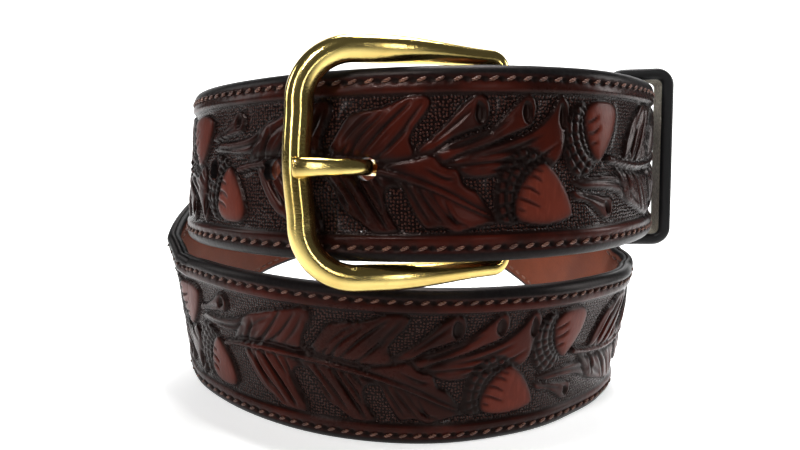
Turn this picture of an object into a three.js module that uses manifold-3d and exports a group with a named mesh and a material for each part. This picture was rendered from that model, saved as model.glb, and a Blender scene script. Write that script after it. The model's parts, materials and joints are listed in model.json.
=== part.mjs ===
// A western tooled leather belt with a brass heel-bar buckle, fastened and coiled in two stacked turns.
// Millimetres, +Z up. The belt stands on its edge with the buckle facing -Y, and the origin lies on the
// surface that it stands on, under the middle of its box.

import * as THREE from "three";
import { mergeVertices } from "three/addons/utils/BufferGeometryUtils.js";
import Module from "manifold-3d";

const wasm = await Module();
wasm.setup();

// Strap
const STRAP_WIDTH = 44.45;
const OUTER_PLY = 2.8;
const LINING_PLY = 1.7;
const EDGE_ROUND = 1.2;
const LINING_INSET = 0.5;
const CLEARANCE = 0.3;
const LAYER_GAP = 0.5;
const SEAT_TRIM = 0.2;

// Coil
const COIL_REACH = 82;
const TIER_GAP = 9;
const UPPER_TILT = 2.9;
const TIP_TURN = 810;
const STATION_STEP = 6;
const SLOPE_WINDOW = 12;
const SEARCH_STEP = 0.1;

// Tip and holes
const TIP_TAPER = 21;
const TIP_BLUNT = 0.1;
const HOLE_COUNT = 5;
const HOLE_DIAMETER = 5.4;
const HOLE_PITCH = 26;
const HOLE_DROP = 1;
const HOLE_FROM_FRONT = 13;

// Buckle
const HEEL_TURN = 11.2;
const HEEL_BAR = 4;
const SIDE_BAR = 6.4;
const FRONT_BAR = 6.6;
const BUCKLE_LENGTH = 48.2;
const BUCKLE_SIDE_GAP = 0.8;
const BUCKLE_DROP = 0.3;
const FRONT_ROOM = 2.6;
const FRAME_ARCH = 1.2;
const FRONT_CORNER = 12.5;
const HEEL_CORNER = 2.8;
const FRONT_BOW = 0.8;
const BAR_SIDES = 12;
const HEEL_PULL = 3;

// Fold round the heel bar
const FOLD_PLY = 2;
const FOLD_ROOM = 0.55;
const FOLD_BACK = 58;
const SKIVE_LENGTH = 16;
const SLOT_LENGTH = 9;
const SLOT_ROOM = 0.9;

// Prong
const PRONG_WIDTH = 4.6;
const PRONG_NECK = 3;
const PRONG_NECK_WIDTH = 3.8;
const PRONG_LOOP_WIDTH = 4;
const PRONG_LOOP_WALL = 1.7;
const PRONG_THICKNESS = 3.4;
const PRONG_REST = 1.2;

// Keeper
const KEEPER_TURN = 792;
const KEEPER_WIDTH = 12;
const KEEPER_LEATHER = 3.4;
const KEEPER_SIDE_ROOM = 0.9;
const KEEPER_FACE_ROOM = 2.6;
const KEEPER_TOP_ROOM = 2;
const KEEPER_FOOT_ROOM = 1.2;
const KEEPER_CORNER = 3.6;

const STRAP_THICKNESS = LINING_PLY + CLEARANCE + OUTER_PLY;
const HALF_THICKNESS = STRAP_THICKNESS / 2;
const LAYER_STEP = STRAP_THICKNESS + LAYER_GAP;
const UPPER_LIFT = STRAP_WIDTH + TIER_GAP;
const FULL_TURN = 360;
const HOLE_HEIGHT = STRAP_WIDTH / 2 - HOLE_DROP;

// The coil from the buckle to the tip, a row for each place where its line changes.
// turn: degrees from the front, counter-clockwise from above. reach: distance from the middle of the coil,
// as a share of COIL_REACH. layer: strap layers that it lies further out. lift: height of its lower edge,
// as a share of UPPER_LIFT. lean: degrees that its top edge leans outwards.
const COIL = [
  { turn: 0, reach: 1.0, layer: -1, lift: 1, lean: -3 },
  { turn: 22, reach: 0.97, layer: -1, lift: 1, lean: -3 },
  { turn: 45, reach: 0.9, layer: -1, lift: 1, lean: -3 },
  { turn: 68, reach: 0.853, layer: -1, lift: 1, lean: -3 },
  { turn: 90, reach: 0.808, layer: -1, lift: 1, lean: -3 },
  { turn: 105, reach: 0.915, layer: -1, lift: 0.995, lean: -2 },
  { turn: 120, reach: 0.895, layer: 0, lift: 0.985, lean: 0 },
  { turn: 135, reach: 0.9, layer: 0, lift: 0.97, lean: 0 },
  { turn: 150, reach: 0.885, layer: 0, lift: 0.95, lean: 0 },
  { turn: 180, reach: 0.87, layer: 0, lift: 0.87, lean: 0 },
  { turn: 210, reach: 0.915, layer: 0, lift: 0.7, lean: 1 },
  { turn: 240, reach: 1.0, layer: 0, lift: 0.5, lean: 4 },
  { turn: 255, reach: 1.01, layer: 0, lift: 0.34, lean: 5 },
  { turn: 270, reach: 1.0, layer: 0, lift: 0.17, lean: 7 },
  { turn: 278, reach: 0.975, layer: 0, lift: 0.05, lean: 8 },
  { turn: 288, reach: 0.925, layer: 0, lift: 0, lean: 8 },
  { turn: 300, reach: 0.87, layer: 0, lift: 0, lean: 8 },
  { turn: 315, reach: 0.82, layer: 0, lift: 0, lean: 8 },
  { turn: 337, reach: 0.77, layer: 0, lift: 0, lean: 8 },
  { turn: 360, reach: 0.725, layer: 0, lift: 0, lean: 8 },
  { turn: 382, reach: 0.685, layer: 0, lift: 0, lean: 8 },
  { turn: 405, reach: 0.675, layer: 0, lift: 0, lean: 8 },
  { turn: 428, reach: 0.715, layer: 0, lift: 0, lean: 8 },
  { turn: 442, reach: 0.76, layer: 0, lift: 0, lean: 6.5 },
  { turn: 450, reach: 0.775, layer: 0, lift: 0.02, lean: 5.5 },
  { turn: 465, reach: 0.79, layer: -0.5, lift: 0.12, lean: 2.5 },
  { turn: 480, reach: 0.82, layer: -1, lift: 0.27, lean: 0.5 },
  { turn: 495, reach: 0.83, layer: -1, lift: 0.43, lean: 0 },
  { turn: 510, reach: 0.825, layer: -1, lift: 0.58, lean: 0 },
  { turn: 540, reach: 0.82, layer: -1, lift: 0.83, lean: 0 },
  { turn: 570, reach: 0.88, layer: -1, lift: 0.96, lean: 0 },
  { turn: 600, reach: 0.98, layer: -1, lift: 1, lean: 0 },
  { turn: 630, reach: 1.045, layer: -1, lift: 1, lean: -2 },
  { turn: 652, reach: 1.045, layer: -1, lift: 1, lean: -3 },
  { turn: 675, reach: 0.98, layer: 0, lift: 1, lean: -3 },
  { turn: 698, reach: 0.995, layer: 0, lift: 1, lean: -3 },
  { turn: 720, reach: 1.0, layer: 0, lift: 1, lean: -3 },
  { turn: 742, reach: 0.97, layer: 0, lift: 1, lean: -3 },
  { turn: 765, reach: 0.9, layer: 0, lift: 1, lean: -3 },
  { turn: 788, reach: 0.853, layer: 0, lift: 1, lean: -3 },
  { turn: 810, reach: 0.808, layer: 0, lift: 1, lean: -3 },
  { turn: 825, reach: 0.915, layer: 0, lift: 0.995, lean: -2 },
];

const radians = THREE.MathUtils.degToRad;
const vector = (x, y, z) => new THREE.Vector3(x, y, z);

// A smooth line through one column of the coil's table that never swings past its rows.
function track(column) {
  const turns = COIL.map((row) => row.turn);
  const values = COIL.map((row) => row[column]);
  const slopes = values.slice(1).map((value, i) => (value - values[i]) / (turns[i + 1] - turns[i]));
  const tangents = values.map((_, i) => {
    const before = slopes[Math.max(i - 1, 0)];
    const after = slopes[Math.min(i, slopes.length - 1)];
    return before * after <= 0 ? 0 : (2 * before * after) / (before + after);
  });
  return (turn) => {
    const next = turns.findIndex((value, i) => i > 0 && turn <= value);
    const i = next < 0 ? turns.length - 2 : next - 1;
    const span = turns[i + 1] - turns[i];
    const s = (turn - turns[i]) / span;
    const ease = s * s * (3 - 2 * s);
    const lead = s * (1 - s) * (1 - s) * span * tangents[i];
    const trail = s * s * (1 - s) * span * tangents[i + 1];
    return values[i] + (values[i + 1] - values[i]) * ease + lead - trail;
  };
}

const reachAt = track("reach");
const layerAt = track("layer");
const liftAt = track("lift");
const leanAt = track("lean");

// The middle of the strap's lower edge.
function edgePoint(turn) {
  const reach = reachAt(turn) * COIL_REACH + layerAt(turn) * LAYER_STEP;
  const x = reach * Math.sin(radians(turn));
  const y = -reach * Math.cos(radians(turn));
  const lift = liftAt(turn);
  return vector(x, y, lift * (UPPER_LIFT + x * Math.tan(radians(UPPER_TILT))));
}

// The strap's place at one turn: a point of its lower edge, its direction of travel, and the axes that
// point outwards through its thickness and up across its width. The width tips with the slope of a longer
// stretch, because a strap can't bend sharply in its own plane.
function strapFrame(turn) {
  const step = 0.5;
  const along = edgePoint(turn + step)
    .sub(edgePoint(turn - step))
    .normalize();
  const level = vector(along.y, -along.x, 0).normalize();
  const climb = edgePoint(turn + SLOPE_WINDOW).sub(edgePoint(turn - SLOPE_WINDOW));
  const slope = climb.z / Math.hypot(climb.x, climb.y);
  const upright = vector(level.y * slope, -level.x * slope, 1).normalize();
  const lean = radians(leanAt(turn));
  const out = level
    .clone()
    .multiplyScalar(Math.cos(lean))
    .addScaledVector(upright, -Math.sin(lean));
  const up = upright
    .multiplyScalar(Math.cos(lean))
    .addScaledVector(level, Math.sin(lean));
  return { point: edgePoint(turn), along, out, up };
}

// The point at some depth (outwards from the strap's middle) and height (from its lower edge).
function placeOn(frame, depth, height) {
  return frame.point.clone().addScaledVector(frame.out, depth).addScaledVector(frame.up, height);
}

// The turn that lies some length further along the strap's lower edge.
function turnAfter(start, length) {
  const step = Math.sign(length) * SEARCH_STEP;
  let turn = start;
  for (let gone = 0; gone < Math.abs(length); turn += step)
    gone += edgePoint(turn).distanceTo(edgePoint(turn + step));
  return turn;
}

// Six times the volume inside a closed surface: below zero where its faces point inwards.
function signedVolume(positions, index) {
  const at = (i) => vector(...positions.slice(3 * index[i], 3 * index[i] + 3));
  let sum = 0;
  for (let i = 0; i < index.length; i += 3) sum += at(i).dot(at(i + 1).cross(at(i + 2)));
  return sum;
}

// A closed surface through rings of points, all with the same count: capped at its ends, or a loop.
function loft(rings, closed) {
  const count = rings[0].length;
  const positions = rings.flat().flatMap((point) => point.toArray());
  const index = [];
  const last = closed ? rings.length : rings.length - 1;
  for (let i = 0; i < last; i++) {
    const here = i * count;
    const there = ((i + 1) % rings.length) * count;
    for (let j = 0; j < count; j++) {
      const k = (j + 1) % count;
      index.push(here + j, here + k, there + k, here + j, there + k, there + j);
    }
  }
  if (!closed) {
    const end = (rings.length - 1) * count;
    for (let j = 1; j < count - 1; j++) {
      index.push(0, j + 1, j);
      index.push(end, end + j, end + j + 1);
    }
  }
  if (signedVolume(positions, index) < 0) index.reverse();
  const geometry = new THREE.BufferGeometry();
  geometry.setAttribute("position", new THREE.Float32BufferAttribute(positions, 3));
  geometry.setIndex(index);
  return geometry;
}

// A rounded bar's section: sides round an ellipse with its half sizes along two axes.
function roundRing(centre, across, halfAcross, through, halfThrough, sides) {
  return Array.from({ length: sides }, (_, i) => {
    const angle = (2 * Math.PI * (i + 0.5)) / sides;
    return centre
      .clone()
      .addScaledVector(across, halfAcross * Math.cos(angle))
      .addScaledVector(through, halfThrough * Math.sin(angle));
  });
}

function toSolid(geometry) {
  const bare = geometry.clone();
  bare.deleteAttribute("normal");
  bare.deleteAttribute("uv");
  const merged = mergeVertices(bare, 1e-4);
  const mesh = new wasm.Mesh({
    numProp: 3,
    vertProperties: merged.attributes.position.array,
    triVerts: new Uint32Array(merged.index.array),
  });
  return new wasm.Manifold(mesh);
}

function toGeometry(solid) {
  const mesh = solid.getMesh();
  const geometry = new THREE.BufferGeometry();
  geometry.setAttribute("position", new THREE.BufferAttribute(mesh.vertProperties, 3));
  geometry.setIndex(new THREE.BufferAttribute(mesh.triVerts, 1));
  return geometry;
}

function cutAway(geometry, cutters) {
  return toGeometry(cutters.reduce((solid, cutter) => solid.subtract(toSolid(cutter)), toSolid(geometry)));
}

// A geometry turned so that its X, Y and Z run along three axes, and moved to a point.
function setAt(geometry, point, xAxis, yAxis, zAxis) {
  const matrix = new THREE.Matrix4().makeBasis(xAxis, yAxis, zAxis).setPosition(point);
  return geometry.applyMatrix4(matrix);
}

const heelFrame = strapFrame(HEEL_TURN);
const HEEL_RADIUS = HEEL_BAR / 2;
const FOLD_INNER = HEEL_RADIUS + FOLD_ROOM;
const FOLD_OUTER = FOLD_INNER + FOLD_PLY;
const heelCentre = placeOn(heelFrame, HALF_THICKNESS - FOLD_OUTER, STRAP_WIDTH / 2);

// The centre of the front bar where it crosses the strap that passes under it.
function frontBarCentre(turn) {
  return placeOn(strapFrame(turn), HALF_THICKNESS + FRONT_ROOM + FRONT_BAR / 2, STRAP_WIDTH / 2);
}

function findFrontTurn() {
  let turn = 2 * FULL_TURN;
  while (frontBarCentre(turn).distanceTo(heelCentre) < BUCKLE_LENGTH) turn -= SEARCH_STEP / 2;
  return turn;
}

const FRONT_TURN = findFrontTurn();
// The frame stands across its heel bar first, and leans a little towards the strap under its front bar.
const buckle = {
  origin: heelCentre,
  along: frontBarCentre(FRONT_TURN).sub(heelCentre).normalize(),
};
buckle.up = heelFrame.up.clone().multiplyScalar(HEEL_PULL).add(strapFrame(FRONT_TURN).up);
buckle.up.addScaledVector(buckle.along, -buckle.up.dot(buckle.along)).normalize();
buckle.out = buckle.up.clone().cross(buckle.along);

// A point of the buckle: length from the heel bar towards the front bar, height and depth from its middle.
function onBuckle(length, height, depth) {
  return buckle.origin
    .clone()
    .addScaledVector(buckle.along, length)
    .addScaledVector(buckle.up, height)
    .addScaledVector(buckle.out, depth);
}

// The section of the outer ply from its lower inner corner round the tooled face to the upper inner corner,
// squeezed towards mid-width by a share where the tip narrows.
function outerPlyRing(frame, middle, ply, width) {
  const half = ply / 2;
  const soft = 0.3 * EDGE_ROUND;
  const profile = [
    [-half, 0],
    [half - EDGE_ROUND, 0],
    [half - soft, soft],
    [half, EDGE_ROUND],
  ];
  const upper = profile.map(([depth, height]) => [depth, STRAP_WIDTH - height]).reverse();
  return [...profile, ...upper].map(([depth, height]) => {
    const squeezed = STRAP_WIDTH / 2 + (height - STRAP_WIDTH / 2) * width;
    return placeOn(frame, middle + depth, squeezed);
  });
}

// How wide the strap still is, as a share, at some length before the end of the rounded tip.
function tipWidth(toEnd) {
  const gone = Math.min(toEnd / TIP_TAPER, 1);
  return TIP_BLUNT + (1 - TIP_BLUNT) * Math.sqrt(1 - Math.pow(1 - gone, 2));
}

function turnsBetween(first, last, step) {
  const count = Math.ceil((last - first) / step);
  return Array.from({ length: count + 1 }, (_, i) => first + ((last - first) * i) / count);
}

const TIP_START = turnAfter(TIP_TURN, -TIP_TAPER);
const TIP_STATIONS = 7;

// The turns of the strap's stations from one turn to the tip, closer together where the tip rounds.
function runningTurns(first) {
  const body = turnsBetween(first, TIP_START, STATION_STEP);
  const tip = Array.from({ length: TIP_STATIONS }, (_, i) => {
    const share = Math.sin((Math.PI / 2) * ((i + 1) / TIP_STATIONS));
    return TIP_START + (TIP_TURN - TIP_START) * share;
  });
  return [...body, ...tip];
}

function lengthToTip(turn) {
  return edgePoint(turn).distanceTo(edgePoint(TIP_TURN));
}

function seatOnSurface(point) {
  point.z = Math.max(point.z - SEAT_TRIM, 0);
  return point;
}

// The main run of the outer ply, from the heel bar to the tip.
function mainRings() {
  return runningTurns(HEEL_TURN).map((turn) => {
    const fromBar = edgePoint(turn).distanceTo(edgePoint(HEEL_TURN));
    const skived = turn < FULL_TURN / 2 ? Math.min(fromBar / SKIVE_LENGTH, 1) : 1;
    const ply = FOLD_PLY + (OUTER_PLY - FOLD_PLY) * skived;
    const width = turn > TIP_START ? tipWidth(lengthToTip(turn)) : 1;
    return outerPlyRing(strapFrame(turn), HALF_THICKNESS - ply / 2, ply, width);
  });
}

// The bend round the heel bar, from the inner side to the outer side.
function bendRings() {
  const BEND_STEPS = 8;
  const radius = (FOLD_INNER + FOLD_OUTER) / 2;
  return Array.from({ length: BEND_STEPS - 1 }, (_, i) => {
    const angle = Math.PI * (1 - (i + 1) / BEND_STEPS);
    const out = heelFrame.out
      .clone()
      .multiplyScalar(Math.cos(angle))
      .addScaledVector(heelFrame.along, -Math.sin(angle));
    const point = heelCentre.clone().addScaledVector(heelFrame.up, -STRAP_WIDTH / 2);
    return outerPlyRing({ point, out, up: heelFrame.up }, radius, FOLD_PLY, 1);
  });
}

// The folded end, which lies back against the lining, from its free end to the heel bar.
function backRings() {
  const barDepth = HALF_THICKNESS - FOLD_OUTER;
  const nearBar = barDepth - (FOLD_INNER + FOLD_OUTER) / 2;
  const onLining = -HALF_THICKNESS - CLEARANCE - FOLD_PLY / 2;
  const turns = turnsBetween(HEEL_TURN, turnAfter(HEEL_TURN, FOLD_BACK), STATION_STEP / 2);
  return turns.reverse().map((turn) => {
    const fromBar = edgePoint(turn).distanceTo(edgePoint(HEEL_TURN));
    const eased = THREE.MathUtils.smoothstep(fromBar, 0, SKIVE_LENGTH);
    const middle = nearBar + (onLining - nearBar) * eased;
    const frame = strapFrame(turn);
    const turned = { point: frame.point, out: frame.out.clone().negate(), up: frame.up };
    return outerPlyRing(turned, -middle, FOLD_PLY, 1);
  });
}

// The drills for the row of holes: the first, which the prong uses, then the others away from the tip.
const holeTurns = Array.from({ length: HOLE_COUNT }, (_, i) =>
  turnAfter(FRONT_TURN, HOLE_FROM_FRONT - HOLE_PITCH * i),
);

function holeDrills() {
  return holeTurns.map((turn) => {
    const frame = strapFrame(turn);
    const drill = new THREE.CylinderGeometry(HOLE_DIAMETER / 2, HOLE_DIAMETER / 2, STRAP_THICKNESS + 1, 16);
    return setAt(drill, placeOn(frame, 0, HOLE_HEIGHT), frame.up, frame.out, frame.along);
  });
}

// The slot in the fold that the prong's loop sits in. It stops short of the strap that lies over the fold.
function slotCutter() {
  const inner = -FOLD_OUTER - FOLD_PLY;
  const outer = FOLD_OUTER + LAYER_GAP / 4;
  const height = PRONG_LOOP_WIDTH + 2 * SLOT_ROOM;
  const length = SLOT_LENGTH + FOLD_OUTER + 1;
  const box = new THREE.BoxGeometry(length, height, outer - inner);
  const centre = heelCentre
    .clone()
    .addScaledVector(heelFrame.along, length / 2 - FOLD_OUTER - 1)
    .addScaledVector(heelFrame.up, -HOLE_DROP)
    .addScaledVector(heelFrame.out, (inner + outer) / 2);
  return setAt(box, centre, heelFrame.along, heelFrame.up, heelFrame.out);
}

function buildStrap() {
  const rings = [...backRings(), ...bendRings(), ...mainRings()];
  rings.flat().forEach(seatOnSurface);
  return cutAway(loft(rings, false), [...holeDrills(), slotCutter()]);
}

function buildLining() {
  const low = LINING_INSET;
  const high = STRAP_WIDTH - LINING_INSET;
  const inner = -HALF_THICKNESS;
  const outer = inner + LINING_PLY;
  const soft = LINING_PLY / 2;
  const profile = [
    [outer, high],
    [outer, low],
    [inner + soft, low],
    [inner, low + soft],
    [inner, high - soft],
    [inner + soft, high],
  ];
  const start = turnAfter(HEEL_TURN, SLOT_LENGTH);
  const shared = runningTurns(HEEL_TURN).filter((turn) => turn > start + 1);
  const rings = [start, ...shared].map((turn) => {
    const frame = strapFrame(turn);
    const width = turn > TIP_START ? tipWidth(lengthToTip(turn)) : 1;
    return profile.map(([depth, height]) =>
      placeOn(frame, depth, STRAP_WIDTH / 2 + (height - STRAP_WIDTH / 2) * width),
    );
  });
  rings.flat().forEach(seatOnSurface);
  return cutAway(loft(rings, false), holeDrills());
}

// The line of the frame's middle in its own plane, as [length, height, half width in that plane]. The side
// bars keep their inner edges level with the strap and thin towards the heel bar on their outer edges.
function frameOutline() {
  const inner = STRAP_WIDTH / 2 + BUCKLE_SIDE_GAP;
  const front = BUCKLE_LENGTH - FRONT_CORNER;
  const halfWidth = (length) =>
    HEEL_RADIUS + (SIDE_BAR / 2 - HEEL_RADIUS) * THREE.MathUtils.smoothstep(length, 0, 0.8 * front);
  const heelHeight = inner + halfWidth(HEEL_CORNER) - HEEL_CORNER;
  const frontHeight = inner + SIDE_BAR / 2 - FRONT_CORNER;
  const upperHalf = [];
  for (const share of [0, 0.33, 0.67, 1]) {
    const bow = FRONT_BOW * Math.pow(1 - share * share, 2);
    upperHalf.push([BUCKLE_LENGTH + bow, share * frontHeight, FRONT_BAR / 2]);
  }
  const CORNER_STEPS = 9;
  for (let i = 1; i <= CORNER_STEPS; i++) {
    const angle = ((Math.PI / 2) * i) / CORNER_STEPS;
    const width = FRONT_BAR / 2 + ((SIDE_BAR - FRONT_BAR) / 2) * (i / CORNER_STEPS);
    upperHalf.push([
      front + FRONT_CORNER * Math.cos(angle),
      frontHeight + FRONT_CORNER * Math.sin(angle),
      width,
    ]);
  }
  for (const share of [0.8, 0.6, 0.4, 0.2]) {
    const length = HEEL_CORNER + (front - HEEL_CORNER) * share;
    upperHalf.push([length, inner + halfWidth(length), halfWidth(length)]);
  }
  const HEEL_STEPS = 4;
  for (let i = 0; i <= HEEL_STEPS; i++) {
    const angle = (Math.PI / 2) * (1 + i / HEEL_STEPS);
    const length = HEEL_CORNER * (1 + Math.cos(angle));
    upperHalf.push([length, heelHeight + HEEL_CORNER * Math.sin(angle), halfWidth(length)]);
  }
  const lowerHalf = upperHalf.slice(1).map(([length, height, width]) => [length, -height, width]);
  return [...lowerHalf.reverse(), ...upperHalf];
}

function buildBuckleFrame() {
  const line = frameOutline();
  const rings = line.map(([length, height, halfWidth], i) => {
    const before = line[(i + line.length - 1) % line.length];
    const after = line[(i + 1) % line.length];
    const run = vector(after[0] - before[0], after[1] - before[1], 0).normalize();
    const across = buckle.along.clone().multiplyScalar(run.y).addScaledVector(buckle.up, -run.x);
    const arch = FRAME_ARCH * Math.sin((Math.PI * length) / (BUCKLE_LENGTH + FRONT_BOW));
    const centre = onBuckle(length, height - BUCKLE_DROP, arch);
    return roundRing(centre, across, halfWidth, buckle.out, halfWidth, BAR_SIDES);
  });
  return loft(rings, true);
}

// The prong's line from its loop's free end to its tip, as points of the buckle's plane (length, depth)
// with half its width and half its thickness there.
function prongLine() {
  const loop = HEEL_RADIUS + CLEARANCE + PRONG_LOOP_WALL / 2;
  const loopStations = Array.from({ length: 10 }, (_, i) => {
    const angle = (Math.PI / 2) * (i / 3);
    return [loop * Math.cos(angle), loop * Math.sin(angle), PRONG_LOOP_WIDTH / 2, PRONG_LOOP_WALL / 2];
  }).slice(0, 9);
  const frame = strapFrame(holeTurns[0]);
  const hole = placeOn(frame, 0, HOLE_HEIGHT).sub(buckle.origin);
  const centre = new THREE.Vector2(hole.dot(buckle.along), hole.dot(buckle.out));
  const through = new THREE.Vector2(frame.out.dot(buckle.along), frame.out.dot(buckle.out)).normalize();
  const ahead = new THREE.Vector2(through.y, -through.x);
  const neck = PRONG_NECK / 2;
  const wide = PRONG_NECK_WIDTH / 2;
  const clear = HALF_THICKNESS + CLEARANCE + neck;
  const near = (depth, length) =>
    centre.clone().addScaledVector(through, depth).addScaledVector(ahead, length);
  const tip = PRONG_WIDTH / 2;
  const thick = PRONG_THICKNESS / 2;
  const rest = FRONT_BAR / 2 + CLEARANCE + thick;
  const inner = near(-clear - neck / 2, -2.4 * neck);
  const outer = near(clear + neck / 4, neck);
  const points = [
    [0, -loop, PRONG_LOOP_WIDTH / 2, PRONG_LOOP_WALL / 2],
    [inner.x / 3, -loop, wide, 0.8 * neck],
    [(inner.x * 2) / 3, (inner.y - loop) / 2, wide, neck],
    [inner.x, inner.y, wide, neck],
    [...near(-clear - neck / 4, -neck), wide, neck],
    [...near(-neck, 0), wide, neck],
    [...near(neck, 0), wide, neck],
    [...outer, wide, neck],
    [(outer.x + BUCKLE_LENGTH) / 2, (outer.y + rest) / 2 + neck / 4, (wide + tip) / 2, thick],
    [BUCKLE_LENGTH, rest, tip, thick],
    [BUCKLE_LENGTH + PRONG_REST, rest - neck / 8, tip, thick],
  ];
  const curveOf = (column) => new THREE.CatmullRomCurve3(column, false, "centripetal");
  const path = curveOf(points.map(([length, depth]) => vector(length, depth, 0)));
  const sizes = points.map(([, , width, thickness]) => vector(width, thickness, 0));
  const steps = (points.length - 1) * 3;
  const shank = Array.from({ length: steps }, (_, i) => {
    const share = (i + 1) / steps;
    const point = path.getPoint(share);
    const place = share * (points.length - 1);
    const before = Math.min(Math.floor(place), points.length - 2);
    const size = sizes[before].clone().lerp(sizes[before + 1], place - before);
    return [point.x, point.y, size.x, size.y];
  });
  const [endLength, endDepth] = shank[shank.length - 1];
  const blunt = [endLength + thick / 2, endDepth, 0.72 * tip, 0.6 * thick];
  return [...loopStations, points[0], ...shank, blunt];
}

function buildProng() {
  const line = prongLine();
  const rings = line.map(([length, depth, halfWidth, halfThick], i) => {
    const before = line[Math.max(i - 1, 0)];
    const after = line[Math.min(i + 1, line.length - 1)];
    const run = vector(after[0] - before[0], after[1] - before[1], 0).normalize();
    const through = buckle.along.clone().multiplyScalar(-run.y).addScaledVector(buckle.out, run.x);
    const centre = onBuckle(length, -HOLE_DROP, depth);
    return roundRing(centre, buckle.up, halfWidth, through, halfThick, BAR_SIDES);
  });
  return loft(rings, false);
}

// The keeper's wall: a strip wound round both straps, its rings placed round a box with round corners.
function buildKeeper() {
  const outerStrap = strapFrame(KEEPER_TURN);
  const innerStrap = strapFrame(KEEPER_TURN - 2 * FULL_TURN);
  const innerFace = innerStrap.point.clone().sub(outerStrap.point).dot(outerStrap.out) - HALF_THICKNESS;
  const near = innerFace - KEEPER_SIDE_ROOM - KEEPER_LEATHER / 2;
  const far = HALF_THICKNESS + KEEPER_FACE_ROOM + KEEPER_LEATHER / 2;
  const low = -KEEPER_FOOT_ROOM - KEEPER_LEATHER / 2;
  const high = STRAP_WIDTH + KEEPER_TOP_ROOM + KEEPER_LEATHER / 2;
  const corners = [
    [far - KEEPER_CORNER, low + KEEPER_CORNER, -Math.PI / 2],
    [far - KEEPER_CORNER, high - KEEPER_CORNER, 0],
    [near + KEEPER_CORNER, high - KEEPER_CORNER, Math.PI / 2],
    [near + KEEPER_CORNER, low + KEEPER_CORNER, Math.PI],
  ];
  const CORNER_STEPS = 4;
  const half = KEEPER_LEATHER / 2;
  const wide = KEEPER_WIDTH / 2;
  const soft = KEEPER_LEATHER / 5;
  const section = [
    [-half + soft, -wide],
    [half - soft, -wide],
    [half, -wide + soft],
    [half, wide - soft],
    [half - soft, wide],
    [-half + soft, wide],
    [-half, wide - soft],
    [-half, -wide + soft],
  ];
  const rings = corners.flatMap(([depth, height, from]) =>
    Array.from({ length: CORNER_STEPS + 1 }, (_, i) => {
      const angle = from + ((Math.PI / 2) * i) / CORNER_STEPS;
      const outDepth = Math.cos(angle);
      const outHeight = Math.sin(angle);
      return section.map(([wall, across]) =>
        placeOn(
          outerStrap,
          depth + (KEEPER_CORNER + wall) * outDepth,
          height + (KEEPER_CORNER + wall) * outHeight,
        ).addScaledVector(outerStrap.along, -across),
      );
    }),
  );
  return loft(rings, true);
}

function leather(colour, roughness) {
  return new THREE.MeshStandardMaterial({ color: colour, roughness, metalness: 0 });
}

function brass() {
  return new THREE.MeshStandardMaterial({ color: 0xc9a24a, roughness: 0.25, metalness: 1 });
}

const belt = new THREE.Group();

function addPiece(name, geometry, material) {
  const mesh = new THREE.Mesh(geometry, material);
  mesh.name = name;
  belt.add(mesh);
}

addPiece("strap", buildStrap(), leather(0x3a1c14, 0.35));
addPiece("lining", buildLining(), leather(0x7a4a2c, 0.6));
addPiece("buckle_frame", buildBuckleFrame(), brass());
addPiece("prong", buildProng(), brass());
addPiece("keeper", buildKeeper(), leather(0x241310, 0.45));

const box = new THREE.Box3().setFromObject(belt);
const middle = box.getCenter(vector(0, 0, 0));
belt.position.set(-middle.x, -middle.y, -box.min.z);

export default belt;
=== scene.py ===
import json
import math

import bpy
import numpy as np
from mathutils import Matrix

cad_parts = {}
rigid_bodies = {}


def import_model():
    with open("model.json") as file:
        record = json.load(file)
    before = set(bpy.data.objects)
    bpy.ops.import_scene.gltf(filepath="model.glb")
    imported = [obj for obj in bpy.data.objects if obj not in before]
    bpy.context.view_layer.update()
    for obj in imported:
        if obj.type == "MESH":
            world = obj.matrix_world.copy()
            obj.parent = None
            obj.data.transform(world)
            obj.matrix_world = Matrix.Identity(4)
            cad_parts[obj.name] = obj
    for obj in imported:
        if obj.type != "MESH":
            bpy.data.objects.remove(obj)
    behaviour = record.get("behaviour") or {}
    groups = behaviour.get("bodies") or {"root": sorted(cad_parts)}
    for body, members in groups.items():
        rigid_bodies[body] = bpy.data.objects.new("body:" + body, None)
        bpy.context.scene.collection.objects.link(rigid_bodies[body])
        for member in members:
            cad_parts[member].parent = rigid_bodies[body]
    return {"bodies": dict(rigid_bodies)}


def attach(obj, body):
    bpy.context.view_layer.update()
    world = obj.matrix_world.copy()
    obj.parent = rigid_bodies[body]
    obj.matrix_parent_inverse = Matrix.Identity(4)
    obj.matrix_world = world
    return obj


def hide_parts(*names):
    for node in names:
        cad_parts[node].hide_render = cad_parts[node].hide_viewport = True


bl_info = {
    "name": "Tooled Belt",
    "version": (1, 0, 0),
    "blender": (4, 5, 0),
    "location": "View3D > Sidebar > Belt",
    "description": "Dresses a coiled western belt: tooled leather, lining, stitches, brass buckle and keeper",
    "category": "Object",
}

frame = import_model()
BODY = next(iter(frame["bodies"]))
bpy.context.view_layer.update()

MM = 0.001

# The coil's sizes in millimetres and its line, the same as in the part's source.
STRAP_WIDTH = 44.45
HALF_THICKNESS = 2.4
OUTER_PLY = 2.8
LAYER_STEP = 5.3
COIL_REACH = 82.0
UPPER_LIFT = 53.45
UPPER_TILT = 2.9
TIP_TURN = 810.0
TIP_TAPER = 21.0
TIP_BLUNT = 0.1
SLOPE_WINDOW = 12.0
SEAT_TRIM = 0.2
HOLE_COUNT = 5
HOLE_DIAMETER = 5.4
HOLE_PITCH = 26.0
HOLE_DROP = 1.0
HOLE_FROM_FRONT = 13.0
HEEL_TURN = 11.2
HEEL_BAR = 4.0
SIDE_BAR = 6.4
FRONT_BAR = 6.6
BUCKLE_LENGTH = 48.2
BUCKLE_SIDE_GAP = 0.8
BUCKLE_DROP = 0.3
FRONT_ROOM = 2.6
FRAME_ARCH = 1.2
FRONT_CORNER = 12.5
HEEL_CORNER = 2.8
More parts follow.
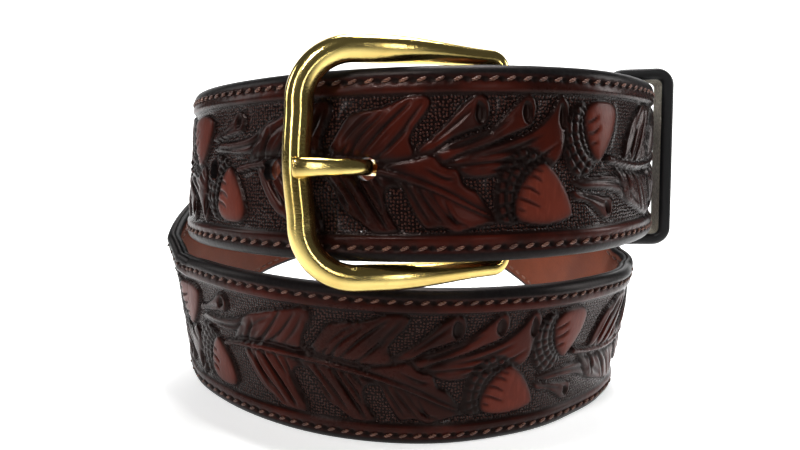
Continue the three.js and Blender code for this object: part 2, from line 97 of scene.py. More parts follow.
FRONT_BOW = 0.8
FOLD_PLY = 2.0
FOLD_ROOM = 0.55
FOLD_BACK = 58.0
SKIVE_LENGTH = 16.0
SLOT_LENGTH = 9.0
SLOT_ROOM = 0.9
PRONG_WIDTH = 4.6
PRONG_NECK = 3.0
PRONG_NECK_WIDTH = 3.8
PRONG_LOOP_WIDTH = 4.0
PRONG_LOOP_WALL = 1.7
PRONG_THICKNESS = 3.4
PRONG_REST = 1.2
KEEPER_TURN = 792.0
KEEPER_WIDTH = 12.0
KEEPER_LEATHER = 3.4
KEEPER_SIDE_ROOM = 0.9
KEEPER_FACE_ROOM = 2.6
KEEPER_TOP_ROOM = 2.0
KEEPER_FOOT_ROOM = 1.2
KEEPER_CORNER = 3.6
KEEPER_WEAVE = 3.4
COIL_MIDDLE = np.array([7.7327, 7.3533, 0.0])

# turn in degrees, reach as a share, layer, lift as a share, lean in degrees
COIL = np.array([
    (0, 1.0, -1, 1, -3), (22, 0.97, -1, 1, -3), (45, 0.9, -1, 1, -3), (68, 0.853, -1, 1, -3),
    (90, 0.808, -1, 1, -3), (105, 0.915, -1, 0.995, -2), (120, 0.895, 0, 0.985, 0),
    (135, 0.9, 0, 0.97, 0), (150, 0.885, 0, 0.95, 0), (180, 0.87, 0, 0.87, 0), (210, 0.915, 0, 0.7, 1),
    (240, 1.0, 0, 0.5, 4), (255, 1.01, 0, 0.34, 5), (270, 1.0, 0, 0.17, 7), (278, 0.975, 0, 0.05, 8),
    (288, 0.925, 0, 0, 8), (300, 0.87, 0, 0, 8), (315, 0.82, 0, 0, 8), (337, 0.77, 0, 0, 8),
    (360, 0.725, 0, 0, 8), (382, 0.685, 0, 0, 8), (405, 0.675, 0, 0, 8), (428, 0.715, 0, 0, 8),
    (442, 0.76, 0, 0, 6.5), (450, 0.775, 0, 0.02, 5.5), (465, 0.79, -0.5, 0.12, 2.5),
    (480, 0.82, -1, 0.27, 0.5), (495, 0.83, -1, 0.43, 0), (510, 0.825, -1, 0.58, 0),
    (540, 0.82, -1, 0.83, 0), (570, 0.88, -1, 0.96, 0), (600, 0.98, -1, 1, 0), (630, 1.045, -1, 1, -2),
    (652, 1.045, -1, 1, -3), (675, 0.98, 0, 1, -3), (698, 0.995, 0, 1, -3), (720, 1.0, 0, 1, -3),
    (742, 0.97, 0, 1, -3), (765, 0.9, 0, 1, -3), (788, 0.853, 0, 1, -3), (810, 0.808, 0, 1, -3),
    (825, 0.915, 0, 0.995, -2),
], float)

# Where the strap is divided into pieces, in turns of the coil.
STRAP_PIECES = (
    ("tooled_strap_heel", HEEL_TURN, 150.0),
    ("tooled_strap_back", 150.0, 285.0),
    ("tooled_strap_front", 285.0, 452.0),
    ("tooled_strap_rise", 452.0, 640.0),
    ("tooled_strap_billet", 640.0, TIP_TURN),
)

# The tooling's repeat. Every second repeat is turned upside down. Lengths run along the strap from the first
# leaf's stem, heights from the strap's lower edge, in millimetres.
REPEAT = 108.5
PANEL_LOW = 6.6
PANEL_HIGH = 37.8
MIDDLE = STRAP_WIDTH / 2
SEAM_INSET = 3.3
STITCH_LEAD = 6.0
GROUND_DEPTH = 0.8
CAP_ROW = 2.15
CAP_COLUMN = 2.3
CAP_RADIUS = 11.5
CAP_GROOVE = 0.3
HATCH_COUNT = 22
HATCH_STEP = 1.15
HATCH_FOOT = np.array([11.5, 24.7])

# A form of the tooling: its kind, then its outline, from what lies lowest to what lies on top.
FORMS = (
    ("finger", [(99, 17.6), (107, 18.6), (116, 18.8), (122, 17.6), (127, 15.6), (128, 13.2), (126, 11.4),
               (122.5, 12.4), (117.5, 14.6), (109, 15.8), (102, 16)]),
    ("finger", [(98.5, 15.4), (104.5, 14.6), (110, 13.8), (113.6, 13.2), (114.6, 11), (113.4, 8.4),
               (111, 8.2), (108, 10.2), (104, 12.6), (99.5, 13.6)]),
    ("lobe", [(65, 22.4), (70, 25), (80, 27.2), (87, 29.5), (92, 33.2), (95.6, 37.6), (97.6, 36),
             (98.2, 32), (97.2, 28), (95.5, 24), (92, 21), (88, 20), (78, 19.5), (70, 19.5)]),
    ("lobe", [(60, 24), (71, 28.5), (77, 30.7), (82, 35), (86, 37.7), (87.7, 36.6), (87.9, 33.5),
             (86.5, 30.8), (81.5, 28.8), (76, 26.6), (69, 24.6), (63, 22)]),
    ("lobe", [(56, 23.4), (58.5, 26), (62, 28.4), (66, 31.8), (70, 35.9), (73.4, 37.7), (75.4, 36.6),
             (75.9, 34), (75, 31.2), (71, 29.6), (66, 27.6), (62, 25), (59, 22.5)]),
    ("lobe", [(34, 23.4), (36, 26.8), (39, 31.2), (41, 33.6), (45, 34.6), (49, 35), (52.5, 36.2),
             (56.5, 37.6), (60, 37.7), (61.8, 36.4), (60.6, 33.8), (58, 30.8), (56.6, 28), (57.6, 25),
             (58, 21), (50, 20.5), (42, 22)]),
    ("lobe", [(7.5, 23), (10, 26.3), (12.5, 30), (15, 32.4), (20, 34), (25, 35.3), (30, 36.6), (33.6, 37.4),
             (35.8, 36.8), (36.3, 35), (35.2, 32), (33.6, 29.2), (33.4, 26.8), (36, 24.2), (34, 22.6),
             (20, 23), (12, 22.6)]),
    ("lobe", [(9, 23.4), (12, 21.2), (14.4, 17), (17.5, 12.9), (20, 10.8), (23, 9.4), (26, 7.3), (30, 6.9),
             (34, 7.1), (33.4, 10), (31.4, 13.6), (29.8, 17), (30.4, 18.8), (32, 19.9), (34.4, 19.8),
             (37, 22), (30, 24.6), (20, 24.8)]),
    ("lobe", [(31, 23.8), (34, 20.2), (36.6, 17.5), (38.6, 14), (41, 10.9), (44, 9.2), (47, 7.1), (50, 6.8),
             (53.6, 7.4), (52.4, 9.4), (50.8, 12.4), (50.2, 15.2), (51, 17), (53, 17.6), (55, 17),
             (58, 19.6), (52, 22.2), (42, 24.2)]),
    ("lobe", [(50, 21.6), (54.6, 17.2), (56.4, 13.6), (58.4, 10), (60.5, 7.6), (64, 8), (67.5, 6.9),
             (71, 7.6), (75.4, 8.6), (78.4, 9.2), (76.4, 11), (74.6, 13), (72.4, 15.8), (69.6, 17.4),
             (67.8, 21), (64.6, 21.8), (62, 24.2), (57, 23.4)]),
    ("rib", [(3.5, 22), (10, 23.2), (22, 24.1), (32, 23.8), (42, 22.8), (50, 21.3), (58, 19), (65, 16.2),
            (71, 13), (77.5, 9.6), (70.4, 12.4), (64.6, 15.2), (57.6, 17.9), (49.6, 20), (41.8, 21.5),
            (32, 22.6), (22, 22.8), (10, 21.8), (3.5, 20.8)]),
    ("cap", [(77.4, 9.4), (76.9, 14), (77.5, 18.6), (79.4, 22.4), (82.5, 24.9), (86, 25.3), (89, 24.2),
            (91.4, 21.6), (88, 17), (84, 12), (82.4, 8.6)]),
    ("nut", [(90.5, 22), (93.6, 19.6), (96.2, 16.2), (98, 12.6), (98.4, 10), (95.4, 8.5), (91, 7.9),
            (86, 8.2), (82.6, 9.6), (82, 12.6), (83.6, 17), (86.4, 20.2), (88.8, 21.8)]),
    ("cap", [(100, 35.6), (97.6, 32.4), (96.4, 28.2), (96.8, 23.4), (98.8, 19.9), (101.6, 18.8),
            (104.6, 19.6), (107.4, 22), (106, 27), (105, 33), (103.4, 36.2)]),
    ("nut", [(103, 33.4), (105.4, 36), (110, 36.9), (114.5, 36.2), (116, 34.2), (115.3, 30.6), (113, 26.8),
            (110.2, 23.6), (108, 22.2), (105.4, 24.2), (103.6, 28)]),
    ("seed", [(73.2, 36.4), (74.8, 35.4), (75.2, 33.2), (74.6, 31.2), (73.2, 30.8), (72.2, 32.2),
             (72.2, 34.8)]),
    ("seed", [(85.4, 36.6), (86.9, 35.4), (87.2, 33.2), (86.5, 31.2), (85.1, 31), (84.1, 32.6),
             (84.2, 35)]),
    ("seed", [(95.4, 36.4), (96.7, 35), (97.2, 32.4), (96.6, 30), (95.4, 29.6), (94.5, 31.2), (94.6, 34)]),
    ("seed", [(110.6, 12.4), (112.2, 12.4), (113.5, 11), (113.4, 9.4), (112.2, 8.9), (110.9, 10)]),
    ("seed", [(123.8, 15.2), (125.8, 15.4), (127.2, 14.2), (127, 12.6), (125.6, 12), (124.2, 13)]),
)

# Knife and tool marks: how deep, how wide, then the line.
MARKS = (
    (0.5, 0.55, [(22, 25.4), (26.5, 29), (31.6, 35.4)]),
    (0.55, 0.6, [(44.5, 25), (50, 30.6), (56.4, 36)]),
    (0.35, 0.7, [(51, 26), (55.5, 31), (59.6, 36)]),
    (0.35, 0.5, [(39, 25), (41.6, 27.6)]),
    (0.3, 0.8, [(40, 27.6), (45, 32.2), (48, 33.8)]),
    (0.25, 0.7, [(14, 26.6), (18.5, 30.6), (24, 33.4)]),
    (0.3, 0.8, [(28, 26.4), (31, 30), (34, 35)]),
    (0.4, 0.6, [(14.5, 22.2), (20.6, 15.4), (27, 8.8)]),
    (0.75, 0.8, [(19.4, 22.6), (25.4, 15.4), (30.4, 8.8)]),
    (0.35, 0.6, [(24, 22.6), (28.6, 16.6)]),
    (0.4, 0.6, [(37.4, 21.2), (42, 15.2), (46, 9.6)]),
    (0.75, 0.8, [(42, 21), (46, 15), (50.6, 8.2)]),
    (0.35, 0.6, [(47.4, 20), (50, 17.2)]),
    (0.4, 0.6, [(58.4, 16.6), (61.4, 12.6), (64.4, 9)]),
    (0.35, 0.6, [(64.6, 13.8), (67.6, 8.4)]),
    (0.35, 0.6, [(60, 21.4), (65, 19), (67, 18.8)]),
    (0.3, 0.7, [(64, 25.4), (70, 26.8), (76, 29)]),
    (0.3, 0.7, [(72, 23.6), (82, 25.6), (90, 28.6)]),
    (0.3, 0.6, [(62, 27), (68, 31.6), (71.6, 34.6)]),
    (0.55, 0.4, [(83.6, 17), (86, 16.4), (88.4, 15)]),
    (0.55, 0.4, [(82.6, 14.4), (85, 13.6), (88.6, 12)]),
    (0.5, 0.4, [(85.4, 19.4), (87.4, 19), (89, 18)]),
    (0.4, 0.4, [(82.4, 12), (84.4, 11.2)]),
    (0.4, 0.4, [(87.6, 20.8), (89.4, 20.2)]),
    (0.5, 0.4, [(103, 31.4), (105.4, 32), (107.4, 33)]),
    (0.5, 0.4, [(103.6, 28.8), (106, 29.2), (108, 30.4)]),
    (0.4, 0.4, [(104.6, 26.2), (107, 26.8)]),
    (0.4, 0.6, [(13, 23.4), (15.4, 27), (17, 31)]),
    (0.5, 0.7, [(18, 24.4), (22, 28.4), (27, 35)]),
    (0.3, 0.8, [(33, 25), (34.6, 29), (35, 33.6)]),
    (0.45, 0.6, [(41, 23.6), (44, 28.6), (50, 33.8)]),
    (0.35, 0.7, [(47.4, 23.2), (53, 27.6), (57, 31)]),
    (0.4, 0.7, [(16.6, 21.6), (18.6, 17.4), (22.4, 12.4)]),
    (0.4, 0.7, [(28, 21.6), (29.6, 17), (33, 10)]),
    (0.35, 0.6, [(34.6, 21), (39, 15.6), (41.6, 12)]),
    (0.4, 0.7, [(44.6, 20.4), (48.4, 15), (50, 11)]),
    (0.4, 0.6, [(55.4, 18.4), (58.4, 13.4), (61, 9.4)]),
    (0.35, 0.6, [(61.4, 15.6), (65.6, 10.4), (70, 8.2)]),
    (0.35, 0.7, [(66, 21.6), (76, 22.6), (86, 23)]),
    (0.35, 0.6, [(76, 20.8), (86, 22.2), (94, 26.4)]),
    (0.3, 0.6, [(67, 25.6), (74, 28.4), (80.6, 32)]),
    (0.3, 0.6, [(100, 17.2), (108, 17.6), (117, 16.8), (122, 15.2)]),
    (0.3, 0.6, [(100, 14.8), (105, 13.4), (109.6, 12)]),
)


# How high a kind of form stands, then how much it falls towards its rim and over what width.
PROFILES = {
    "nut": (0.22, (0.36, 0.7), (0.24, 2.6)),
    "rib": (0.2, (0.4, 0.3)),
    "lobe": (0.02, (0.36, 0.42), (0.16, 2.2)),
    "finger": (0.02, (0.36, 0.42), (0.16, 2.2)),
}


def unit(vectors):
    return vectors / np.linalg.norm(vectors, axis=-1, keepdims=True)


def track(column):
    """A smooth line through one column of the coil's table that never swings past its rows."""
    turns, values = COIL[:, 0], COIL[:, column]
    slopes = np.diff(values) / np.diff(turns)
    before = slopes[np.maximum(np.arange(len(values)) - 1, 0)]
    after = slopes[np.minimum(np.arange(len(values)), len(slopes) - 1)]
    total = np.where(before * after <= 0, 1, before + after)
    tangents = np.where(before * after <= 0, 0, 2 * before * after / total)

    def at(turn):
        i = np.clip(np.searchsorted(turns, turn) - 1, 0, len(turns) - 2)
        span = turns[i + 1] - turns[i]
        s = (turn - turns[i]) / span
        rise = (values[i + 1] - values[i]) * s * s * (3 - 2 * s)
        return (values[i] + rise + s * (1 - s) ** 2 * span * tangents[i]
                - s * s * (1 - s) * span * tangents[i + 1])

    return at


REACH, LAYER, LIFT, LEAN = (track(column) for column in (1, 2, 3, 4))


def edge_line(turn):
    """The middle of the strap's lower edge, in millimetres."""
    turn = np.asarray(turn, float)
    reach = REACH(turn) * COIL_REACH + LAYER(turn) * LAYER_STEP
    x = reach * np.sin(np.radians(turn))
    y = -reach * np.cos(np.radians(turn))
    rise = UPPER_LIFT + x * math.tan(math.radians(UPPER_TILT))
    return np.stack([x, y, LIFT(turn) * rise], -1)


def strap_axes(turn):
    """The strap's place at some turns: a point, then its directions along, out and up."""
    turn = np.asarray(turn, float)
    along = unit(edge_line(turn + 0.5) - edge_line(turn - 0.5))
    level = unit(np.stack([along[..., 1], -along[..., 0], 0 * along[..., 0]], -1))
    climb = edge_line(turn + SLOPE_WINDOW) - edge_line(turn - SLOPE_WINDOW)
    slope = climb[..., 2] / np.hypot(climb[..., 0], climb[..., 1])
    upright = unit(np.stack([level[..., 1] * slope, -level[..., 0] * slope, 1 + 0 * slope], -1))
    lean = np.radians(LEAN(turn))[..., None]
    out = level * np.cos(lean) - upright * np.sin(lean)
    up = upright * np.cos(lean) + level * np.sin(lean)
    return edge_line(turn), along, out, up


def place_on(axes, depth, height):
    """Points at some depths and heights of the strap, seated on the surface that it stands on."""
    point, _, out, up = axes
    return point + out * np.asarray(depth)[..., None] + up * np.asarray(height)[..., None]


def seated(points):
    points = points.copy()
    points[..., 2] = np.maximum(points[..., 2] - SEAT_TRIM, 0)
    return points


TURNS = np.arange(0, 825.01, 0.25)
MID_LINE = place_on(strap_axes(TURNS), 0 * TURNS, 0 * TURNS + MIDDLE)
LENGTHS = np.concatenate([[0], np.cumsum(np.linalg.norm(np.diff(MID_LINE, axis=0), axis=-1))])
EDGE_LENGTHS = np.concatenate([[0], np.cumsum(np.linalg.norm(np.diff(edge_line(TURNS), axis=0), axis=-1))])


def length_at(turn):
    return np.interp(turn, TURNS, LENGTHS)


def turn_at(length):
    return np.interp(length, LENGTHS, TURNS)


def turn_after(turn, length):
    """The turn that lies some length further along the strap's lower edge."""
    return float(np.interp(np.interp(turn, TURNS, EDGE_LENGTHS) + length, EDGE_LENGTHS, TURNS))


def axes_at(turn):
    point, along, out, up = strap_axes(np.array([turn]))
    return point[0], along[0], out[0], up[0]


HEEL_AXES = axes_at(HEEL_TURN)
FOLD_INNER = HEEL_BAR / 2 + FOLD_ROOM
FOLD_OUTER = FOLD_INNER + FOLD_PLY
HEEL_CENTRE = place_on(HEEL_AXES, HALF_THICKNESS - FOLD_OUTER, MIDDLE)


def front_bar_centre(turn):
    return place_on(axes_at(turn), HALF_THICKNESS + FRONT_ROOM + FRONT_BAR / 2, MIDDLE)


def find_front_turn():
    turn = 720.0
    while np.linalg.norm(front_bar_centre(turn) - HEEL_CENTRE) < BUCKLE_LENGTH:
        turn -= 0.05
    return turn


FRONT_TURN = find_front_turn()
BUCKLE_ALONG = unit(front_bar_centre(FRONT_TURN) - HEEL_CENTRE)
BUCKLE_UP = HEEL_AXES[3] * 3 + axes_at(FRONT_TURN)[3]
BUCKLE_UP = unit(BUCKLE_UP - BUCKLE_ALONG * BUCKLE_UP.dot(BUCKLE_ALONG))
BUCKLE_OUT = np.cross(BUCKLE_UP, BUCKLE_ALONG)
HOLE_TURNS = [turn_after(FRONT_TURN, HOLE_FROM_FRONT - HOLE_PITCH * i) for i in range(HOLE_COUNT)]


def on_buckle(length, height, depth):
    """A point of the buckle: length from the heel bar to the front bar, height and depth from its middle."""
    return HEEL_CENTRE + BUCKLE_ALONG * length + BUCKLE_UP * height + BUCKLE_OUT * depth


def rounded(points, steps=6, closed=True):
    """A smooth line through some points (centripetal, so that it never loops)."""
    points = np.asarray(points, float)
    if closed:
        points = np.vstack([points[-1], points, points[0], points[1]])
    else:
        points = np.vstack([2 * points[0] - points[1], points, 2 * points[-1] - points[-2]])
    line = []
    for p0, p1, p2, p3 in zip(points, points[1:], points[2:], points[3:]):
        k0, k1, k2 = (max(np.linalg.norm(b - a), 1e-9) ** 0.5 for a, b in ((p0, p1), (p1, p2), (p2, p3)))
        t1, t2, t3 = k0, k0 + k1, k0 + k1 + k2
        t = np.linspace(t1, t2, steps, endpoint=False)[:, None]
        a1 = (t1 - t) / t1 * p0 + t / t1 * p1
        a2 = (t2 - t) / (t2 - t1) * p1 + (t - t1) / (t2 - t1) * p2
        a3 = (t3 - t) / (t3 - t2) * p2 + (t - t2) / (t3 - t2) * p3
        b1 = (t2 - t) / t2 * a1 + t / t2 * a2
        b2 = (t3 - t) / (t3 - t1) * a2 + (t - t1) / (t3 - t1) * a3
        line.append((t2 - t) / (t2 - t1) * b1 + (t - t1) / (t2 - t1) * b2)
    line = np.vstack(line)
    return line if closed else np.vstack([line, points[-2]])


def distance_to(line, x, y):
    """How far grid points lie from a line of points, and how far along it the nearest place is (0 to 1)."""
    best = np.full(x.shape, 1e9)
    where = np.zeros(x.shape)
    for i, (a, b) in enumerate(zip(line, line[1:])):
        dx, dy = b - a
        t = np.clip(((x - a[0]) * dx + (y - a[1]) * dy) / (dx * dx + dy * dy + 1e-12), 0, 1)
        gap = np.hypot(x - a[0] - t * dx, y - a[1] - t * dy)
        closer = gap < best
        best = np.where(closer, gap, best)
        where = np.where(closer, (i + t) / (len(line) - 1), where)
    return best, where


def inside(line, x, y):
    odd = np.zeros(x.shape, bool)
    for a, b in zip(line, line[1:]):
        crosses = (a[1] > y) != (b[1] > y)
        run = np.where(crosses, (b[0] - a[0]) * (y - a[1]) / (b[1] - a[1] + 1e-12) + a[0], 0)
        odd ^= crosses & (x < run)
    return odd


def ease(value, low, high):
    t = np.clip((value - low) / (high - low), 0, 1)
    return t * t * (3 - 2 * t)


def copied(points, shift, flip):
    """Points of the chart, moved to another copy of the repeat."""
    points = np.atleast_2d(np.asarray(points, float)) + [shift * REPEAT, 0]
    if flip:
        points[:, 1] = STRAP_WIDTH - points[:, 1]
    return points


def around(line, x, y, room):
    """Which grid points lie in a line's box with some room round it."""
    low, high = line.min(axis=0) - room, line.max(axis=0) + room
    return (x > low[0]) & (x < high[0]) & (y > low[1]) & (y < high[1])


def carve_repeat(step=0.22):
    """The tooling over one repeat: relief in millimetres, and how much each place is nut, ground and cap."""
    xs = np.arange(0, REPEAT, step)
    ys = np.arange(PANEL_LOW - 0.4, PANEL_HIGH + 0.4, step)
    x, y = np.meshgrid(xs, ys, indexing="ij")
    relief = np.full(x.shape, -GROUND_DEPTH)
    nut, ground, cap = np.zeros(x.shape), np.ones(x.shape), np.zeros(x.shape)
    copies = [(shift, flip) for shift, flip in ((-2, False), (-1, True), (0, False), (1, True))]
    for shift, flip in copies:
        for number, (kind, outline) in enumerate(FORMS):
            line = rounded(outline)
            line = copied(np.vstack([line, line[0]]), shift, flip)
            near = around(line, x, y, 4)
            if not near.any():
                continue
            gx, gy = x[near], y[near]
            gap, _ = distance_to(line, gx, gy)
            within = inside(line, gx, gy)
            under = relief[near]
            beside = np.maximum(under - 0.7 * np.exp(-gap / 0.75), -1.2)
            if kind == "seed":
                beside = under - 0.12 * np.exp(-gap / 0.5)
                form = -0.1 - 1.0 * ease(gap, 0, 0.8)
            elif kind == "cap":
                centre = copied(np.mean(FORMS[number + 1][1], axis=0), shift, flip)[0]
                form = cap_squares(centre, gx, gy) - 0.25 * np.exp(-gap / 0.4)
            else:
                top, *falls = PROFILES[kind]
                form = top - sum(fall * np.exp(-gap / width) for fall, width in falls)
            relief[near] = np.where(within, form, beside)
            soft = ease(gap, 0, 0.5)
            for field, wanted in ((nut, "nut"), (cap, "cap")):
                field[near] = np.where(within, soft if kind == wanted else 0, field[near])
            ground[near] = np.where(within, 0, ground[near] * np.maximum(soft, 0.2))
    for shift, flip in copies:
        for depth, width, points in MARKS:
            line = copied(rounded(points, closed=False), shift, flip)
            near = around(line, x, y, 3)
            if not near.any():
                continue
            gap, where = distance_to(line, x[near], y[near])
            taper = np.sin(np.pi * np.clip(where * 0.94 + 0.03, 0, 1)) ** 0.5
            shoulder = 0.4 * np.exp(-(((gap - 1.2) / 0.5) ** 2)) * (width > 0.57)
            stroke = 1.6 * np.exp(-((gap / (0.66 * width)) ** 2)) - shoulder
            relief[near] -= depth * taper * stroke * (1 - ground[near])
    for shift, flip in copies:
        for i in range(HATCH_COUNT):
            foot = HATCH_FOOT + [HATCH_STEP * i, 0]
            head = foot + [3.4 + 0.7 * math.sin(2.3 * i), 3.3 + 0.9 * math.cos(1.7 * i)]
            line = copied([foot, head], shift, flip)
            near = (np.abs(x - line[0, 0]) < 6) & (np.abs(y - line[:, 1].mean()) < 5)
            if near.any():
                gap, where = distance_to(line, x[near], y[near])
                relief[near] -= 0.36 * (1 - where) * np.exp(-((gap / 0.34) ** 2))
    return {"x": xs, "y": ys, "relief": relief, "nut": nut, "ground": ground, "cap": cap}


def cap_squares(centre, x, y):
    """The raised squares of an acorn's cap: rows round its nut, and columns across them."""
    away = np.hypot(x - centre[0], y - centre[1])
    round_way = np.arctan2(y - centre[1], x - centre[0]) * CAP_RADIUS
    grooves = 0
    for run, pitch in ((away, CAP_ROW), (round_way, CAP_COLUMN)):
        grooves = grooves + np.exp(-(((run / pitch - np.round(run / pitch)) * pitch / CAP_GROOVE) ** 2))
    return -0.12 - 0.42 * np.minimum(grooves, 1)


REPEAT_FIELDS = carve_repeat()


def chart_length(length):
    """Where on the tooling's chart a length of the strap lies, so that both tiers show what they should."""
    front, upper = length_at(360), length_at(720)
    stops = [front - 290, front + 20, upper - 60, upper + 22.5, upper + 122.5]
    places = [-220, 90, 4 * REPEAT, 4 * REPEAT + 90, 4 * REPEAT + 199]
    return np.interp(length, stops, places) + np.minimum(length - stops[0], 0)


def tooling(length, height):
    """The tooling's fields at lengths and heights of the strap, in millimetres."""
    place = chart_length(length)
    cell = np.floor(place / REPEAT)
    x = place - cell * REPEAT
    y = np.where(cell % 2 == 0, height, STRAP_WIDTH - height)
    step_x = REPEAT_FIELDS["x"][1]
    step_y = REPEAT_FIELDS["y"][1] - REPEAT_FIELDS["y"][0]
    fx = np.clip(x / step_x, 0, len(REPEAT_FIELDS["x"]) - 1.001)
    fy = np.clip((y - REPEAT_FIELDS["y"][0]) / step_y, 0, len(REPEAT_FIELDS["y"]) - 1.001)
    i, j = fx.astype(int), fy.astype(int)
    a, b = fx - i, fy - j
    fields = {}
    for name in ("relief", "nut", "ground", "cap"):
        grid = REPEAT_FIELDS[name]
        fields[name] = ((1 - a) * (1 - b) * grid[i, j] + a * (1 - b) * grid[i + 1, j]
                        + (1 - a) * b * grid[i, j + 1] + a * b * grid[i + 1, j + 1])
    return fields


def new_mesh(name, points, faces, flat_faces=(), attributes=None):
    """An object of faces with smooth shading, in the frame's place. Points are in millimetres."""
    mesh = bpy.data.meshes.new(name)
    mesh.from_pydata((np.asarray(points, float) * MM).tolist(), [], [list(face) for face in faces])
    smooth = np.ones(len(mesh.polygons), bool)
    smooth[list(flat_faces)] = False
    mesh.polygons.foreach_set("use_smooth", smooth)
    for key, values in (attributes or {}).items():
        values = np.asarray(values, np.float32)
        kind = "FLOAT" if values.ndim == 1 else "FLOAT_VECTOR"
        layer = mesh.attributes.new(key, kind, "POINT")
        layer.data.foreach_set("value" if kind == "FLOAT" else "vector", values.ravel())
    mesh.update()
    piece = bpy.data.objects.new(name, mesh)
    bpy.context.scene.collection.objects.link(piece)
    return piece


def end_share(ring):
    """What a flat end over a ring of points adds to the volume."""
    middle = ring.mean(axis=0)
    return middle @ np.cross(ring - middle, np.roll(ring, -1, axis=0) - middle).sum(axis=0)


def skin(rings, closed=False):
    """Faces through rings of points, with a flat cap on each end unless the rings close on themselves."""
    count, size = rings.shape[:2]
    last = count if closed else count - 1
    i, j = np.meshgrid(np.arange(last), np.arange(size), indexing="ij")
    k, n = (j + 1) % size, (i + 1) % count
    faces = np.stack([i * size + j, i * size + k, n * size + k, n * size + j], -1).reshape(-1, 4)
    points = rings.reshape(-1, 3)
    corners = points[faces]
    normal = np.cross(corners[:, 2] - corners[:, 0], corners[:, 3] - corners[:, 1])
    volume = float((corners.mean(axis=1) * normal).sum())
    if not closed:
        volume += end_share(rings[-1]) - end_share(rings[0])
    faces = faces.tolist()
    caps = []
    if not closed:
        caps = [len(faces), len(faces) + 1]
        faces += [list(range(size))[::-1], list(range((count - 1) * size, count * size))]
    if volume < 0:
        faces = [face[::-1] for face in faces]
    return faces, caps


def sweep(name, rings, closed=False, attributes=None):
    """A closed shell through rings of points, moved to the frame's place."""
    placed = rings + COIL_MIDDLE
    faces, caps = skin(placed, closed)
    flat = {key: values.reshape(-1, 3) if values.ndim == 3 else values.ravel()
            for key, values in (attributes or {}).items()}
    return new_mesh(name, placed.reshape(-1, 3), faces, caps, flat)


def cut(piece, cutters):
    """Takes closed shapes away from a piece and deletes them."""
    for cutter in cutters:
        modifier = piece.modifiers.new("cut", "BOOLEAN")
        modifier.operation = "DIFFERENCE"
        modifier.solver = "MANIFOLD"
        modifier.object = cutter
    settle(piece)
    for cutter in cutters:
        bpy.data.objects.remove(cutter)


def settle(piece):
    """Makes a piece's modifiers part of its mesh."""
    bpy.context.view_layer.update()
    graph = bpy.context.evaluated_depsgraph_get()
    result = bpy.data.meshes.new_from_object(piece.evaluated_get(graph))
    old = piece.data
    piece.modifiers.clear()
    piece.data = result
    result.name = piece.name
    bpy.data.meshes.remove(old)


def finish_piece(piece, material, slot, *nodes):
    """Gives a piece its material, its body and the solids that it stands for; the slot is not used."""
    piece.data.materials.clear()
    piece.data.materials.append(material)
    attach(piece, BODY)
    if nodes:
        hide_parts(*nodes)
    return piece


def tip_width(to_end):
    gone = np.minimum(to_end / TIP_TAPER, 1)
    return np.sqrt(np.maximum(1 - (1 - gone) ** 2, 0)) * (1 - TIP_BLUNT) + TIP_BLUNT


def tip_share(turns):
    """How wide the strap still is at some turns, as a share."""
    to_end = np.linalg.norm(edge_line(turns) - edge_line(TIP_TURN), axis=-1)
    start = turn_after(TIP_TURN, -TIP_TAPER)
    return np.where(turns > start, tip_width(to_end), 1.0)


# The strap's rounded edge from the flesh side to the face, as depth and height in millimetres.
EDGE_PROFILE = np.array([
    (-0.55, 0.42), (-0.2, 0.1), (0.4, 0.0), (1.0, 0.12), (1.45, 0.4), (1.85, 0.85), (2.15, 1.35), (2.33, 1.9),
    (2.4, 2.5),
])


def strip_grid(lengths, height):
    """A strip's grid: lengths, heights, how far it is to the nearer edge, and the place as a vector."""
    grid_length, grid_height = np.meshgrid(lengths, height, indexing="ij")
    from_edge = np.minimum(grid_height, STRAP_WIDTH - grid_height)
    belt = np.stack([grid_length, grid_height, 0 * grid_length], -1) * MM
    return grid_length, grid_height, from_edge, belt


def stitch_start():
    """The length of the strap at which its rows of stitches begin."""
    return length_at(HEEL_TURN + STITCH_LEAD)


def seam_pits(length, height):
    """The pits that the awl left between the stitches, whose dark colour is painted shade, and the groove that they
    lie in.
    """
    pitch = bpy.context.scene.belt_sizes.stitch_pitch / MM
    from_edge = np.minimum(height, STRAP_WIDTH - height)
    groove = np.exp(-(((from_edge - SEAM_INSET) / 0.7) ** 2))
    place = (length - stitch_start()) / pitch
    pits = np.exp(-(((place % 1 - 0.5) * pitch / 0.6) ** 2)) * groove
    return groove, pits


def border_relief(length, height):
    """The plain borders: a groove for the stitches and a cut line beside the tooling."""
    from_edge = np.minimum(height, STRAP_WIDTH - height)
    groove, pits = seam_pits(length, height)
    line = 0.6 * np.exp(-(((from_edge - PANEL_LOW + 0.2) / 0.4) ** 2))
    swell = 0.12 * np.exp(-(((from_edge - 5.2) / 0.9) ** 2))
    return swell - 0.22 * groove - 0.45 * pits - line


